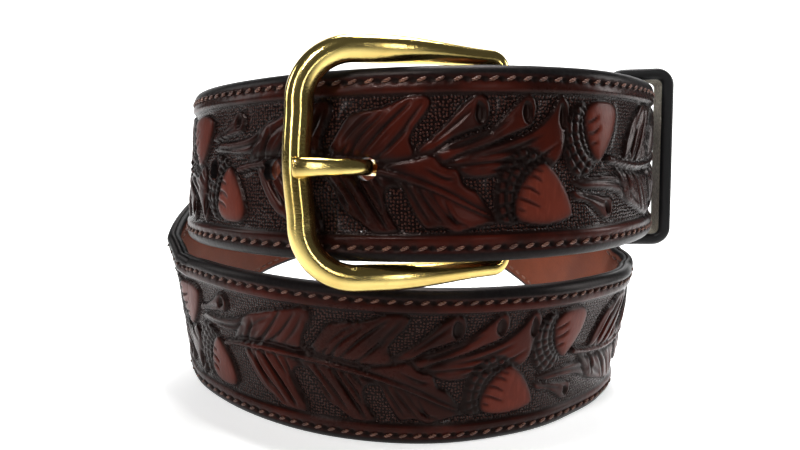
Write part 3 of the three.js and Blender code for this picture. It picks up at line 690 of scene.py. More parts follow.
def strap_piece(name, first, last, step, material):
    start, end = length_at(first), length_at(last)
    lengths = np.linspace(start, end, int((end - start) / step) + 1)
    turns = turn_at(lengths)
    turns[0], turns[-1] = first, last
    axes = [part[:, None, :] for part in strap_axes(turns)]
    low = EDGE_PROFILE
    face = np.linspace(2.5, STRAP_WIDTH - 2.5, int((STRAP_WIDTH - 5) / step) + 1)[1:-1]
    high = EDGE_PROFILE[::-1] * [1, -1] + [0, STRAP_WIDTH]
    back = np.linspace(STRAP_WIDTH - 0.42, 0.42, 6)[1:-1]
    depth = np.concatenate([low[:, 0], 0 * face + HALF_THICKNESS, high[:, 0], 0 * back - 0.55])
    height = np.concatenate([low[:, 1], face, high[:, 1], back])
    on_face = np.concatenate([np.zeros(len(low)), np.ones(len(face)), np.zeros(len(high) + len(back))])
    grid_length, grid_height, from_edge, belt = strip_grid(lengths, height)
    fields = tooling(grid_length, grid_height)
    panel = ease(from_edge, PANEL_LOW - 0.1, PANEL_LOW + 0.5)
    calm = 1 - ease(lengths, length_at(TIP_TURN) - 9, length_at(TIP_TURN) - 2)[:, None]
    relief = panel * fields["relief"] + border_relief(grid_length, grid_height)
    depth_scale = bpy.context.scene.belt_sizes.tooling_depth / (GROUND_DEPTH * MM)
    relief = relief * on_face * calm * depth_scale
    ply = OUTER_PLY + 0.15 + 0 * lengths
    if first < 180:
        ply = FOLD_PLY + (ply - FOLD_PLY) * np.clip((lengths - length_at(HEEL_TURN)) / SKIVE_LENGTH, 0, 1)
    squeeze = (ply / (OUTER_PLY + 0.15))[:, None]
    depths = HALF_THICKNESS - (HALF_THICKNESS - depth[None, :]) * squeeze + relief
    heights = MIDDLE + (height[None, :] - MIDDLE) * tip_share(turns)[:, None]
    rings = seated(place_on(axes, depths, heights))
    edge = 1 - ease(from_edge, 2.1, 2.9)
    groove, pits = seam_pits(grid_length, grid_height)
    # The seam field darkens the stitch groove and, as painted shade, the awl pits.
    seam = np.minimum(0.45 * groove + pits, 1) * on_face
    piece = sweep(name, rings, attributes={
        "relief": relief, "nut": fields["nut"] * panel, "ground": fields["ground"] * panel * on_face,
        "cap": fields["cap"] * panel, "edge": edge, "belt": belt, "seam": seam, "raw": 0 * edge,
    })
    drills = [hole_drill(turn) for turn in HOLE_TURNS if first < turn < last]
    if first == HEEL_TURN:
        drills.append(slot_cutter())
    if drills:
        cut(piece, drills)
    return finish_piece(piece, material, "tooled_leather", "strap")


def hole_drill(turn):
    """A rod through the strap at a hole, wider at its mouth if the hole isn't in use. Its wall carries painted
    light and shade: raw leather colour as a lit crescent on the far wall of an unused hole, fading deeper in, and
    black as painted shade on the rest of the wall and all round the hole in use.
    """
    point, along, out, up = axes_at(turn)
    centre = place_on((point, along, out, up), 0, MIDDLE - HOLE_DROP)
    angles = np.linspace(0, 2 * np.pi, 40, endpoint=False)
    # Painted light: only the lit side of the wall shows raw leather colour, never in the hole that the prong uses.
    lit = ease(np.cos(angles + 0.8), 0.1, 0.8) * (turn != HOLE_TURNS[0])
    rings, raw = [], []
    # Painted light by depth: the raw colour fades deeper into the hole, away from the tooled face.
    for depth, wider, painted_light_by_depth in ((-4, 0, 0), (0.6, 0, 0.5), (1.75, 0, 0.9), (2.05, 0.03, 1), (2.6, 0.16, 1),
                                (4, 0.3, 1)):
        rings.append(centre + out * depth + HOLE_DIAMETER / 2 * (1 + wider * (turn != HOLE_TURNS[0]))
                     * (np.cos(angles)[:, None] * along + np.sin(angles)[:, None] * up))
        raw.append(painted_light_by_depth * lit)
    raw = np.array(raw)
    # Painted shade: the rest of the wall takes the dark seam colour and the black edge colour.
    return sweep("drill", np.array(rings), attributes={"raw": raw, "seam": 1 - raw, "edge": 1 - raw})


def slot_cutter():
    """A box for the slot in the fold, where the prong's loop sits."""
    _, along, out, up = HEEL_AXES
    half = PRONG_LOOP_WIDTH / 2 + SLOT_ROOM
    rings = []
    for length in (-FOLD_OUTER - 1, SLOT_LENGTH):
        corners = [(-FOLD_OUTER - FOLD_PLY, -half), (FOLD_OUTER + 0.12, -half),
                   (FOLD_OUTER + 0.12, half), (-FOLD_OUTER - FOLD_PLY, half)]
        rings.append([HEEL_CENTRE + along * length + out * depth + up * (height - HOLE_DROP)
                      for depth, height in corners])
    return sweep("slot", np.array(rings))


def fold_rings():
    """The folded end: back along the lining to the heel bar, and round it to the outer side."""
    profile = np.array([(-1, 0.5), (-0.5, 0.1), (0, 0), (0.5, 0.25), (0.85, 0.8), (1, 1.6)])
    face = np.linspace(2.5, STRAP_WIDTH - 2.5, 60)
    seam = -0.12 * np.exp(-(((np.minimum(face, STRAP_WIDTH - face) - SEAM_INSET) / 0.5) ** 2))
    low = profile
    high = profile[::-1] * [1, -1] + [0, STRAP_WIDTH]
    depth = np.concatenate([low[:, 0], 1 + seam, high[:, 0]]) * FOLD_PLY / 2
    height = np.concatenate([low[:, 1], face, high[:, 1]])
    bar_depth = HALF_THICKNESS - FOLD_OUTER
    near_bar = bar_depth - (FOLD_INNER + FOLD_OUTER) / 2
    on_lining = -HALF_THICKNESS - 0.3 - FOLD_PLY / 2
    rings, lengths = [], []
    start, end = length_at(HEEL_TURN), length_at(turn_after(HEEL_TURN, FOLD_BACK))
    for length in np.linspace(end, start, 90):
        turn = float(turn_at(length)) if length > start else HEEL_TURN
        point, along, out, up = axes_at(turn)
        from_bar = np.linalg.norm(edge_line(turn) - edge_line(HEEL_TURN))
        eased = ease(from_bar, 0, SKIVE_LENGTH)
        middle = near_bar + (on_lining - near_bar) * eased
        rounding = 1 - 0.12 * (1 - ease(end - length, 0, 5)) ** 2
        heights = MIDDLE + (height - MIDDLE) * rounding
        rings.append(point + out * (middle - depth)[:, None] + up * heights[:, None])
        lengths.append(length - start)
    _, along, out, up = HEEL_AXES
    low_point = HEEL_CENTRE - up * MIDDLE
    radius = (FOLD_INNER + FOLD_OUTER) / 2
    for angle in np.linspace(math.pi, 0, 30)[1:]:
        turned = out * math.cos(angle) - along * math.sin(angle)
        rings.append(low_point + turned * (radius + depth)[:, None] + up * height[:, None])
        lengths.append(-radius * (math.pi - angle))
    _, _, from_edge, belt = strip_grid(lengths, height)
    return seated(np.array(rings)), {"edge": 1 - ease(from_edge, 1.2, 1.9), "belt": belt}


def lining_rings(step=1.2):
    first = turn_after(HEEL_TURN, SLOT_LENGTH)
    start, end = length_at(first), length_at(TIP_TURN)
    lengths = np.linspace(start, end, int((end - start) / step))
    turns = turn_at(lengths)
    turns[-1] = TIP_TURN
    axes = [part[:, None, :] for part in strap_axes(turns)]
    edge = np.array([(0.0, 0.42), (-0.3, 0.3), (-0.7, 0.36), (-1.1, 0.56), (-1.42, 0.9), (-1.62, 1.35),
                     (-1.7, 2.0)])
    face = np.concatenate([np.linspace(2.3, 5.2, 9), np.linspace(6.5, STRAP_WIDTH - 6.5, 12),
                           np.linspace(STRAP_WIDTH - 5.2, STRAP_WIDTH - 2.3, 9)])
    seam = 0.14 * np.exp(-(((np.minimum(face, STRAP_WIDTH - face) - SEAM_INSET) / 0.5) ** 2))
    depth = -0.62 + np.concatenate([edge[:, 0], -1.7 + seam, edge[::-1, 0]]) * 1.046
    height = np.concatenate([edge[:, 1], face, STRAP_WIDTH - edge[::-1, 1]])
    heights = MIDDLE + (height[None, :] - MIDDLE) * tip_share(turns)[:, None]
    rings = seated(place_on(axes, depth[None, :] + 0 * heights, heights))
    _, _, from_edge, belt = strip_grid(lengths, height)
    return rings, {"edge": 1 - ease(from_edge, 1.5, 2.1), "belt": belt, "raw": 0 * from_edge}


def frame_outline():
    """The buckle frame's line in its own plane: length, height and half the bar's width."""
    inner = STRAP_WIDTH / 2 + BUCKLE_SIDE_GAP
    front = BUCKLE_LENGTH - FRONT_CORNER
    heel = HEEL_BAR / 2

    def half_width(length):
        return heel + (SIDE_BAR / 2 - heel) * ease(length, 0, 0.8 * front)

    heel_height = inner + half_width(HEEL_CORNER) - HEEL_CORNER
    front_height = inner + SIDE_BAR / 2 - FRONT_CORNER
    upper = []
    for share in np.linspace(0, 1, 12):
        bowed = BUCKLE_LENGTH + FRONT_BOW * (1 - share * share) ** 2
        upper.append((bowed, share * front_height, FRONT_BAR / 2))
    for share in np.linspace(0, 1, 28)[1:]:
        angle = math.pi / 2 * share
        width = FRONT_BAR / 2 + (SIDE_BAR - FRONT_BAR) / 2 * share
        upper.append((front + FRONT_CORNER * math.cos(angle), front_height + FRONT_CORNER * math.sin(angle),
                      width))
    for share in np.linspace(1, 0, 22)[1:-1]:
        length = HEEL_CORNER + (front - HEEL_CORNER) * share
        upper.append((length, inner + half_width(length), half_width(length)))
    for share in np.linspace(0, 1, 12):
        angle = math.pi / 2 * (1 + share)
        length = HEEL_CORNER * (1 + math.cos(angle))
        upper.append((length, heel_height + HEEL_CORNER * math.sin(angle), half_width(length)))
    for share in np.linspace(1, 0, 10)[1:-1]:
        upper.append((0, share * heel_height, heel))
    lower = [(length, -height, width) for length, height, width in upper[1:]]
    return np.array(lower[::-1] + upper)


def frame_rings(sides=48):
    """The buckle frame: rounded outside, with a soft bevel and a faint ridge towards the strap."""
    line = frame_outline()
    before, after = np.roll(line, 1, axis=0), np.roll(line, -1, axis=0)
    run = unit((after - before)[:, :2])
    angles = np.linspace(0, 2 * math.pi, sides, endpoint=False)
    outward = np.array([line[:, 0] - BUCKLE_LENGTH / 2, line[:, 1]]).T
    rings = []
    for (length, height, half), (run_x, run_y), side in zip(line, run, outward):
        normal = np.array([run_y, -run_x])
        if normal @ side < 0:
            normal = -normal
        bevel = np.exp(-(((angles - math.radians(132)) / 0.42) ** 2))
        back = ease(-np.sin(angles), 0.55, 1.0)
        share = ease(length, 1.0, 9.0)
        radius = half * (1 - 0.06 * bevel * share - 0.07 * back * share)
        arch = FRAME_ARCH * math.sin(math.pi * length / (BUCKLE_LENGTH + FRONT_BOW))
        centre = on_buckle(length, height - BUCKLE_DROP, arch)
        across = BUCKLE_ALONG * normal[0] + BUCKLE_UP * normal[1]
        rings.append(centre + (radius * np.cos(angles))[:, None] * across
                     + (radius * np.sin(angles))[:, None] * BUCKLE_OUT)
    return np.array(rings)


def prong_line():
    """The prong's line from its loop's free end to its tip: length, depth, half its width and thickness."""
    loop = HEEL_BAR / 2 + 0.3 + PRONG_LOOP_WALL / 2
    angles = np.linspace(0, 1.5 * math.pi, 30)[:-1]
    start = [(loop * math.cos(a), loop * math.sin(a), PRONG_LOOP_WIDTH / 2, PRONG_LOOP_WALL / 2)
             for a in angles]
    point, along, out, up = axes_at(HOLE_TURNS[0])
    hole = place_on((point, along, out, up), 0, MIDDLE - HOLE_DROP) - HEEL_CENTRE
    centre = np.array([hole @ BUCKLE_ALONG, hole @ BUCKLE_OUT])
    through = unit(np.array([out @ BUCKLE_ALONG, out @ BUCKLE_OUT]))
    ahead = np.array([through[1], -through[0]])
    neck, tip, thick = PRONG_NECK / 2, PRONG_WIDTH / 2, PRONG_THICKNESS / 2
    wide = PRONG_NECK_WIDTH / 2
    clear = HALF_THICKNESS + 0.3 + neck
    rest = FRONT_BAR / 2 + 0.3 + thick

    def near(depth, length):
        return centre + through * depth + ahead * length

    inner = near(-clear - neck / 2, -2.4 * neck)
    outer = near(clear + neck / 4, neck)
    points = [
        (0, -loop, PRONG_LOOP_WIDTH / 2, PRONG_LOOP_WALL / 2),
        (inner[0] / 3, -loop, wide, 0.8 * neck),
        (inner[0] * 2 / 3, (inner[1] - loop) / 2, wide, neck),
        (*inner, wide, neck),
        (*near(-clear - neck / 4, -neck), wide, neck),
        (*near(-neck, 0), wide, neck),
        (*near(neck, 0), wide, neck),
        (*outer, wide, neck),
        ((outer[0] + BUCKLE_LENGTH) / 2, (outer[1] + rest) / 2 + neck / 4, (wide + tip) / 2, thick),
        (BUCKLE_LENGTH, rest, tip, thick),
        (BUCKLE_LENGTH + PRONG_REST, rest - neck / 8, tip, thick),
    ]
    shank = rounded(points, steps=9, closed=False)
    end = shank[-1]
    blunt = [(end[0] + thick * s, end[1], end[2] * w, end[3] * w)
             for s, w in ((0.18, 0.985), (0.34, 0.94), (0.46, 0.85), (0.53, 0.7), (0.56, 0.4), (0.565, 0.1))]
    return np.vstack([start, shank, blunt])


def prong_rings(sides=28):
    line = prong_line()
    run = unit(np.gradient(line[:, :2], axis=0))
    angles = np.linspace(0, 2 * math.pi, sides, endpoint=False)
    rings = []
    for (length, depth, half_width, half_thick), (run_x, run_y) in zip(line, run):
        through = BUCKLE_ALONG * -run_y + BUCKLE_OUT * run_x
        squared = np.sign(np.cos(angles)) * np.abs(np.cos(angles)) ** 0.8
        ring = (on_buckle(length, -HOLE_DROP, depth) + (half_width * squared)[:, None] * BUCKLE_UP
                + (half_thick * np.sin(angles))[:, None] * through)
        rings.append(ring)
    return np.array(rings)


def keeper_rings():
    """The keeper's wall: a tooled strip wound round both straps."""
    point, along, out, up = axes_at(KEEPER_TURN)
    inner_point = edge_line(KEEPER_TURN - 720)
    inner_face = (inner_point - point) @ out - HALF_THICKNESS
    half, wide = KEEPER_LEATHER / 2, KEEPER_WIDTH / 2
    near = inner_face - KEEPER_SIDE_ROOM - half
    far = HALF_THICKNESS + KEEPER_FACE_ROOM + half
    low = -KEEPER_FOOT_ROOM - half
    high = STRAP_WIDTH + KEEPER_TOP_ROOM + half
    corner = KEEPER_CORNER
    path = []
    corners = ((far - corner, low + corner, -90), (far - corner, high - corner, 0),
               (near + corner, high - corner, 90), (near + corner, low + corner, 180))
    for number, (depth, height, begin) in enumerate(corners):
        for angle in np.radians(np.linspace(begin, begin + 90, 12)):
            path.append((depth + corner * math.cos(angle), height + corner * math.sin(angle),
                         math.cos(angle), math.sin(angle)))
        here, there = path[-1], corners[(number + 1) % 4]
        begin_next = math.radians(there[2])
        goal = (there[0] + corner * math.cos(begin_next), there[1] + corner * math.sin(begin_next))
        gap = math.dist(here[:2], goal)
        for share in np.linspace(0, 1, max(int(gap / 0.5), 2))[1:-1]:
            path.append((here[0] + (goal[0] - here[0]) * share, here[1] + (goal[1] - here[1]) * share,
                         here[2], here[3]))
    edge = [(-half, -wide + 0.9), (-half + 0.3, -wide + 0.25), (-half + 1.0, -wide), (half - 1.0, -wide),
            (half - 0.35, -wide + 0.25), (half, -wide + 0.9)]
    face = [(half, across) for across in np.linspace(-wide + 1.3, wide - 1.3, 21)]
    inside_face = [(-half, across) for across in np.linspace(wide - 1.4, -wide + 1.4, 14)]
    section = np.array(edge + face + [(a, -b) for a, b in edge[::-1]] + inside_face)
    across = np.abs(section[:, 1])
    outer = (section[:, 0] > half - 0.01) & (across < wide - 1.0)
    rings, run = [], 0.0
    for i, (depth, height, cos, sin) in enumerate(path):
        run += math.dist(path[i][:2], path[i - 1][:2]) if i else 0.0
        line = 0.3 * np.exp(-(((across - 3.9) / 0.35) ** 2)) * outer
        rows = np.abs(np.sin(math.pi * run / KEEPER_WEAVE)) ** 0.5
        weave = 0.28 * rows * np.abs(np.cos(math.pi * section[:, 1] / KEEPER_WEAVE))
        panel = (across < 3.6) * outer
        wall = section[:, 0] - line + (weave - 0.3) * panel
        rings.append(point + out * (depth + wall * cos)[:, None] + up * (height + wall * sin)[:, None]
                     - along * section[:, 1:2])
    edge_mask = np.where(np.abs(section[:, 0]) < half - 0.02, 1.0, 0.0)
    edge_mask = np.maximum(edge_mask, ease(across, wide - 1.5, wide - 1.1))
    flesh = ((section[:, 0] < -half + 0.02) & (across < wide - 1.2)).astype(float)
    spread = np.ones((len(rings), 1))
    return np.array(rings), {"edge": spread * edge_mask, "flesh": spread * flesh}


class Signal:
    """A value on its way through a material's nodes, so that its maths reads as Python."""

    def __init__(self, finish, socket):
        self.finish = finish
        self.socket = socket

    def maths(self, operation, *others):
        sockets = {0: self, **{i + 1: other for i, other in enumerate(others)}}
        return self.finish.node("ShaderNodeMath", {"operation": operation}, sockets)

    def __add__(self, other):
        return self.maths("ADD", other)

    def __sub__(self, other):
        return self.maths("SUBTRACT", other)

    def __mul__(self, other):
        return self.maths("MULTIPLY", other)

    def __rsub__(self, other):
        return self.finish.node("ShaderNodeMath", {"operation": "SUBTRACT"}, {0: other, 1: self})

    __radd__ = __add__

    def ramp(self, low, high):
        """0 below low, 1 above high, smooth between."""
        return self.finish.node(
            "ShaderNodeMapRange", {"interpolation_type": "SMOOTHSTEP"},
            {"Value": self, "From Min": low, "From Max": high})

    def limited(self):
        return self.finish.node("ShaderNodeClamp", {}, {"Value": self})


class Finish:
    """A material in the making, with one method that adds any node."""

    def __init__(self, name):
        self.material = bpy.data.materials.new(name)
        self.material.use_nodes = True
        self.tree = self.material.node_tree
        self.tree.nodes.clear()

    def node(self, kind, settings, sockets, output=0):
        made = self.tree.nodes.new(kind)
        for key, value in settings.items():
            setattr(made, key, value)
        for key, value in sockets.items():
            target = self.socket(made, key)
            if isinstance(value, Signal):
                self.tree.links.new(value.socket, target)
            else:
                target.default_value = value
        return Signal(self, self.socket(made, output, made.outputs))

    @staticmethod
    def socket(node, key, group=None):
        group = node.inputs if group is None else group
        if isinstance(key, int):
            return group[key]
        named = [item for item in group if item.identifier == key]
        return named[0] if named else group[key]

    def attribute(self, name, output="Fac"):
        return self.node("ShaderNodeAttribute", {"attribute_name": name}, {}, output)

    def place(self):
        return self.node("ShaderNodeTexCoord", {}, {}, "Object")

    def stretched(self, vector, scale):
        return self.node("ShaderNodeVectorMath", {"operation": "MULTIPLY"}, {0: vector, 1: scale})

    def noise(self, vector, scale, detail=3.0, rough=0.55):
        return self.node("ShaderNodeTexNoise", {},
                         {"Vector": vector, "Scale": scale, "Detail": detail, "Roughness": rough})

    def cells(self, vector, scale, randomness=1.0, dimensions="3D"):
        return self.node("ShaderNodeTexVoronoi", {"voronoi_dimensions": dimensions},
                         {"Vector": vector, "Scale": scale, "Randomness": randomness}, "Distance")

    def part_of(self, vector, axis):
        return self.node("ShaderNodeSeparateXYZ", {}, {"Vector": vector}, axis)

    def mixed(self, share, first, second):
        return self.node("ShaderNodeMix", {"data_type": "RGBA"},
                         {"Factor_Float": share, "A_Color": first, "B_Color": second}, "Result_Color")

    def bump(self, height, distance, normal=None):
        sockets = {"Height": height, "Distance": distance, "Strength": 1.0}
        if normal is not None:
            sockets["Normal"] = normal
        return self.node("ShaderNodeBump", {}, sockets)

    def surface(self, **sockets):
        values = {key.replace("_", " "): value for key, value in sockets.items()}
        shader = self.node("ShaderNodeBsdfPrincipled", {}, values)
        target = self.tree.nodes.new("ShaderNodeOutputMaterial")
        self.tree.links.new(shader.socket, target.inputs["Surface"])
        return self.material


def tooled_leather_finish():
    """Dark mahogany leather: recesses darkened by antique stain and painted shade, beaded ground with painted
    highlights on the bead tops, reddish nuts with painted shade at their rims, black burnished edges.
    """
    colours = bpy.context.scene.belt_colours
    sizes = bpy.context.scene.belt_sizes
    finish = Finish("carved_hide")
    place = finish.place()
    belt = finish.attribute("belt", "Vector")
    relief = finish.attribute("relief")
    nut, ground = finish.attribute("nut"), finish.attribute("ground")
    cap, edge = finish.attribute("cap"), finish.attribute("edge")
    seam, raw = finish.attribute("seam"), finish.attribute("raw").ramp(0.3, 0.9)
    clouds = finish.noise(place, 55.0, 4.0)
    patches = finish.noise(place, 17.0, 2.0)
    pores = finish.noise(place, 900.0, 3.0)
    hollow_stain_and_shade = (relief * -1.0).ramp(0.06, 0.5)
    hide = finish.mixed(patches.ramp(0.4, 0.62), colours.hide_dark, colours.hide_warm)
    hide = finish.mixed(clouds.ramp(0.42, 0.62) * 0.75, hide, colours.deep_hide_and_thread_shade)
    grain = finish.noise(finish.stretched(belt, (1.0, 0.22, 1.0)), 900.0, 3.0, 0.6)
    lighter = clouds.ramp(0.3, 0.75) * 0.6 + grain.ramp(0.45, 0.7) * 0.4
    acorn = finish.mixed(lighter, colours.nut, colours.nut_light)
    # Painted shade: each nut darkens towards its rim, where its relief falls away.
    acorn = finish.mixed((relief * -1.0).ramp(-0.16, 0.2) * 0.75, acorn, colours.hide_dark)
    tooled = finish.mixed(nut, hide, acorn)
    # Antique stain and painted shade: recesses, cuts and caps darken, and the beaded ground below them.
    tooled = finish.mixed((hollow_stain_and_shade * 0.9 + cap * 0.5).limited() * (1 - nut * 0.75), tooled, colours.antique_stain_and_shade)
    tooled = finish.mixed(ground * 0.85, tooled, colours.antique_stain_and_shade)
    beads = finish.cells(belt, 1.0 / sizes.bead_pitch, 0.5, "2D")
    domes = (1.0 - beads * beads * 3.4).limited() * ground
    # Painted highlight: the tops of the ground's beads are lighter.
    tooled = finish.mixed(domes.ramp(0.35, 0.95) * 0.4, tooled, colours.bead)
    # The seam field darkens the stitch groove and, as painted shade, the awl pits; on the hole walls it is the
    # drills' painted shade.
    tooled = finish.mixed(seam, tooled, colours.antique_stain_and_shade)
    black = finish.mixed(pores.ramp(0.3, 0.8) * 0.3, colours.edge, colours.edge_worn)
    # On the hole walls, raw leather colour is painted light on a lit crescent, and the black edge colour is painted
    # shade on the rest of the wall.
    colour = finish.mixed(raw, finish.mixed(edge, tooled, black), colours.raw)
    creases = finish.noise(finish.stretched(belt, (1.0, 0.35, 1.0)), 420.0, 4.0, 0.6)
    first = finish.bump(domes, sizes.bead_pitch * 0.34)
    second = finish.bump(creases * 0.8 + pores * 0.4, 0.00011, first)
    roughness = 0.2 + patches * 0.12 + edge * 0.1 + nut * 0.08 + pores * 0.05
    roughness = roughness + (raw + seam) * 0.4 - ground * 0.04
    return finish.surface(Base_Color=colour, Roughness=roughness, Normal=second, Specular_IOR_Level=0.1,
                          Specular_Tint=(1.0, 0.78, 0.72, 1.0), Coat_Weight=domes * 0.15,
                          Coat_Roughness=0.13)


def lining_finish():
    """Smooth chestnut lining leather with a fine grain and a burnished black edge."""
    colours = bpy.context.scene.belt_colours
    finish = Finish("chestnut_lining")
    place = finish.place()
    belt = finish.attribute("belt", "Vector")
    edge = finish.attribute("edge")
    fibres = finish.noise(finish.stretched(belt, (0.25, 1.0, 1.0)), 1500.0, 4.0, 0.65)
    clouds = finish.noise(place, 60.0, 3.0)
    grain = finish.cells(place, 1400.0)
    hide = finish.mixed(clouds.ramp(0.3, 0.75), colours.lining, colours.lining_light)
    hide = finish.mixed(fibres.ramp(0.5, 0.8) * 0.35, hide, colours.lining_dark)
    # On the hole walls, raw leather colour is painted light on a lit crescent, and the black edge colour is painted
    # shade on the rest of the wall.
    raw = finish.attribute("raw").ramp(0.3, 0.9)
    colour = finish.mixed(raw, finish.mixed(edge, hide, colours.edge), colours.raw)
    bumps = finish.bump(fibres * 0.7 + grain * 0.5, 0.00008)
    return finish.surface(Base_Color=colour, Roughness=0.46 + clouds * 0.16 - edge * 0.08, Normal=bumps,
                          Specular_IOR_Level=0.2)


def keeper_finish():
    """The keeper: brown tooled face, black painted edges and a rough undyed flesh side."""
    colours = bpy.context.scene.belt_colours
    finish = Finish("keeper_hide")
    place = finish.place()
    edge, flesh = finish.attribute("edge"), finish.attribute("flesh")
    clouds = finish.noise(place, 90.0, 4.0)
    fuzz = finish.noise(finish.stretched(place, (1.0, 1.0, 0.5)), 1900.0, 5.0, 0.75)
    hide = finish.mixed(clouds.ramp(0.3, 0.7), colours.hide_dark, colours.hide_warm)
    raw = finish.mixed(fuzz.ramp(0.35, 0.7), colours.flesh_dark, colours.flesh)
    colour = finish.mixed(flesh, finish.mixed(edge, hide, colours.edge), raw)
    relief = finish.bump(fuzz * (0.15 + flesh * 1.0), 0.0004)
    return finish.surface(Base_Color=colour, Roughness=0.36 + flesh * 0.5 + clouds * 0.1, Normal=relief,
                          Specular_IOR_Level=0.3)


def brass_finish():
    """Polished brass: warm colour, faint clouds of tarnish and hairline polishing marks."""
    colours = bpy.context.scene.belt_colours
    finish = Finish("polished_brass")
    place = finish.place()
    clouds = finish.noise(place, 70.0, 4.0)
    spots = finish.noise(place, 420.0, 5.0, 0.7)
    hairlines = finish.noise(finish.stretched(place, (1.0, 1.0, 9.0)), 900.0, 2.0)
    colour = finish.mixed(clouds.ramp(0.4, 0.72) * 0.55, colours.brass, colours.brass_dark)
    colour = finish.mixed(spots.ramp(0.62, 0.8) * 0.35, colour, colours.brass_dark)
    bumps = finish.bump(hairlines * 0.4 + clouds * 3.0 + spots * 0.7, 0.00004)
    return finish.surface(Base_Color=colour, Metallic=1.0, Roughness=0.08 + clouds * 0.08 + spots * 0.05,
                          Normal=bumps)


def thread_finish():
    """Waxed copper-brown thread with its twist, with painted shade in the twist's grooves and where its ends go
    down.
    """
    colours = bpy.context.scene.belt_colours
    finish = Finish("waxed_thread")
    strand = finish.attribute("strand", "Vector")
    clouds = finish.noise(finish.place(), 300.0, 3.0)
    along, across = finish.part_of(strand, "X"), finish.part_of(strand, "Y")
    twist = ((along * 19.0 + across * 9.0).maths("SINE") + 1.0) * 0.5
    ends = (along * along).ramp(0.1, 0.24)
    colour = finish.mixed(clouds.ramp(0.3, 0.7), colours.thread, colours.thread_dark)
    # Painted shade in the grooves of the twist and where the ends go down into the leather.
    colour = finish.mixed(((1.0 - twist) * 0.55 + ends * 0.7).limited(), colour, colours.deep_hide_and_thread_shade)
    return finish.surface(Base_Color=colour, Roughness=0.42 + clouds * 0.15,
                          Normal=finish.bump(twist, 0.00022), Specular_IOR_Level=0.4)


def stage_finish(name, colour, glow):
    """The pale stage, lit a little from below so that hardly any shadow falls on it."""
    finish = Finish(name)
    grain = finish.noise(finish.place(), 30.0, 2.0)
    near = finish.part_of(finish.place(), "Y").ramp(-0.2, -0.055)
    return finish.surface(Base_Color=finish.mixed(grain * 0.03, colour, (0.7, 0.7, 0.7, 1.0)),
                          Roughness=0.75, Emission_Strength=glow,
                          Emission_Color=finish.mixed(near, (0.15, 0.15, 0.15, 1.0), (1.0, 1.0, 1.0, 1.0)))


def shared_finish(name, make):
    """A material that several pieces share, made when the first of them asks for it."""
    return bpy.data.materials.get(name) or make()


def stitch_tree():
    """Geometry Nodes: a short slanting thread at every point, turned by the point's own directions."""
    tree = bpy.data.node_groups.new("stitches", "GeometryNodeTree")
    interface = tree.interface
    interface.new_socket("Geometry", in_out="INPUT", socket_type="NodeSocketGeometry")
    for label, value in (("Length", 0.0028), ("Width", 0.0009), ("Height", 0.0007), ("Slant", 0.3)):
        interface.new_socket(label, in_out="INPUT", socket_type="NodeSocketFloat").default_value = value
    interface.new_socket("Thread", in_out="INPUT", socket_type="NodeSocketMaterial")
    interface.new_socket("Geometry", in_out="OUTPUT", socket_type="NodeSocketGeometry")

    def add(kind, settings=(), **links):
        node = tree.nodes.new(kind)
        for key, value in dict(settings).items():
            setattr(node, key, value)
        for key, value in links.items():
            target = node.inputs[key.replace("_", " ")]
            if isinstance(value, bpy.types.NodeSocket):
                tree.links.new(value, target)
            else:
                target.default_value = value
        return node

    given = add("NodeGroupInput").outputs
    bead = add("GeometryNodeMeshUVSphere", Segments=8, Rings=8, Radius=0.5)
    sizes = add("ShaderNodeCombineXYZ", X=given["Length"], Y=given["Width"], Z=given["Height"])
    place = add("GeometryNodeInputPosition")
    marked = add("GeometryNodeStoreNamedAttribute", {"data_type": "FLOAT_VECTOR", "domain": "POINT"},
                 Geometry=bead.outputs["Mesh"], Name="strand", Value=place.outputs["Position"])
    shaped = add("GeometryNodeTransform", Geometry=marked.outputs["Geometry"], Scale=sizes.outputs["Vector"])
    smooth = add("GeometryNodeSetShadeSmooth", Geometry=shaped.outputs["Geometry"])
    slant = add("ShaderNodeCombineXYZ", Z=given["Slant"])
    slanted = add("GeometryNodeTransform", Geometry=smooth.outputs["Geometry"],
                  Rotation=slant.outputs["Vector"])
    outward = add("GeometryNodeInputNamedAttribute", {"data_type": "FLOAT_VECTOR"}, Name="outward")
    forward = add("GeometryNodeInputNamedAttribute", {"data_type": "FLOAT_VECTOR"}, Name="forward")
    upright = add("FunctionNodeAlignRotationToVector", {"axis": "Z"}, Vector=outward.outputs["Attribute"])
    turned = add("FunctionNodeAlignRotationToVector", {"axis": "X", "pivot_axis": "Z"},
                 Rotation=upright.outputs["Rotation"], Vector=forward.outputs["Attribute"])
    placed = add("GeometryNodeInstanceOnPoints", Points=given["Geometry"],
                 Instance=slanted.outputs["Geometry"], Rotation=turned.outputs["Rotation"])
    real = add("GeometryNodeRealizeInstances", Geometry=placed.outputs["Instances"])
    painted = add("GeometryNodeSetMaterial", Geometry=real.outputs["Geometry"], Material=given["Thread"])
    out = add("NodeGroupOutput")
    tree.links.new(painted.outputs["Geometry"], out.inputs["Geometry"])
    return tree


def sew(name, points, forward, outward, slant, slot, material):
    """A row of stitches: one on each point, made by the stitches tree and kept as a plain mesh."""
    sizes = bpy.context.scene.belt_sizes
    seat = new_mesh(name, points + COIL_MIDDLE, [], (), {"forward": forward, "outward": outward})
    tree = bpy.data.node_groups.get("stitches") or stitch_tree()
    modifier = seat.modifiers.new("stitches", "NODES")
    modifier.node_group = tree
    named = {item.name: item.identifier for item in tree.interface.items_tree
             if item.item_type == "SOCKET" and item.in_out == "INPUT"}
    values = {"Length": sizes.stitch_length, "Width": sizes.stitch_width, "Height": sizes.stitch_width * 0.8,
              "Slant": slant, "Thread": material}
    for label, value in values.items():
        modifier[named[label]] = value
    settle(seat)
    return finish_piece(seat, material, slot)


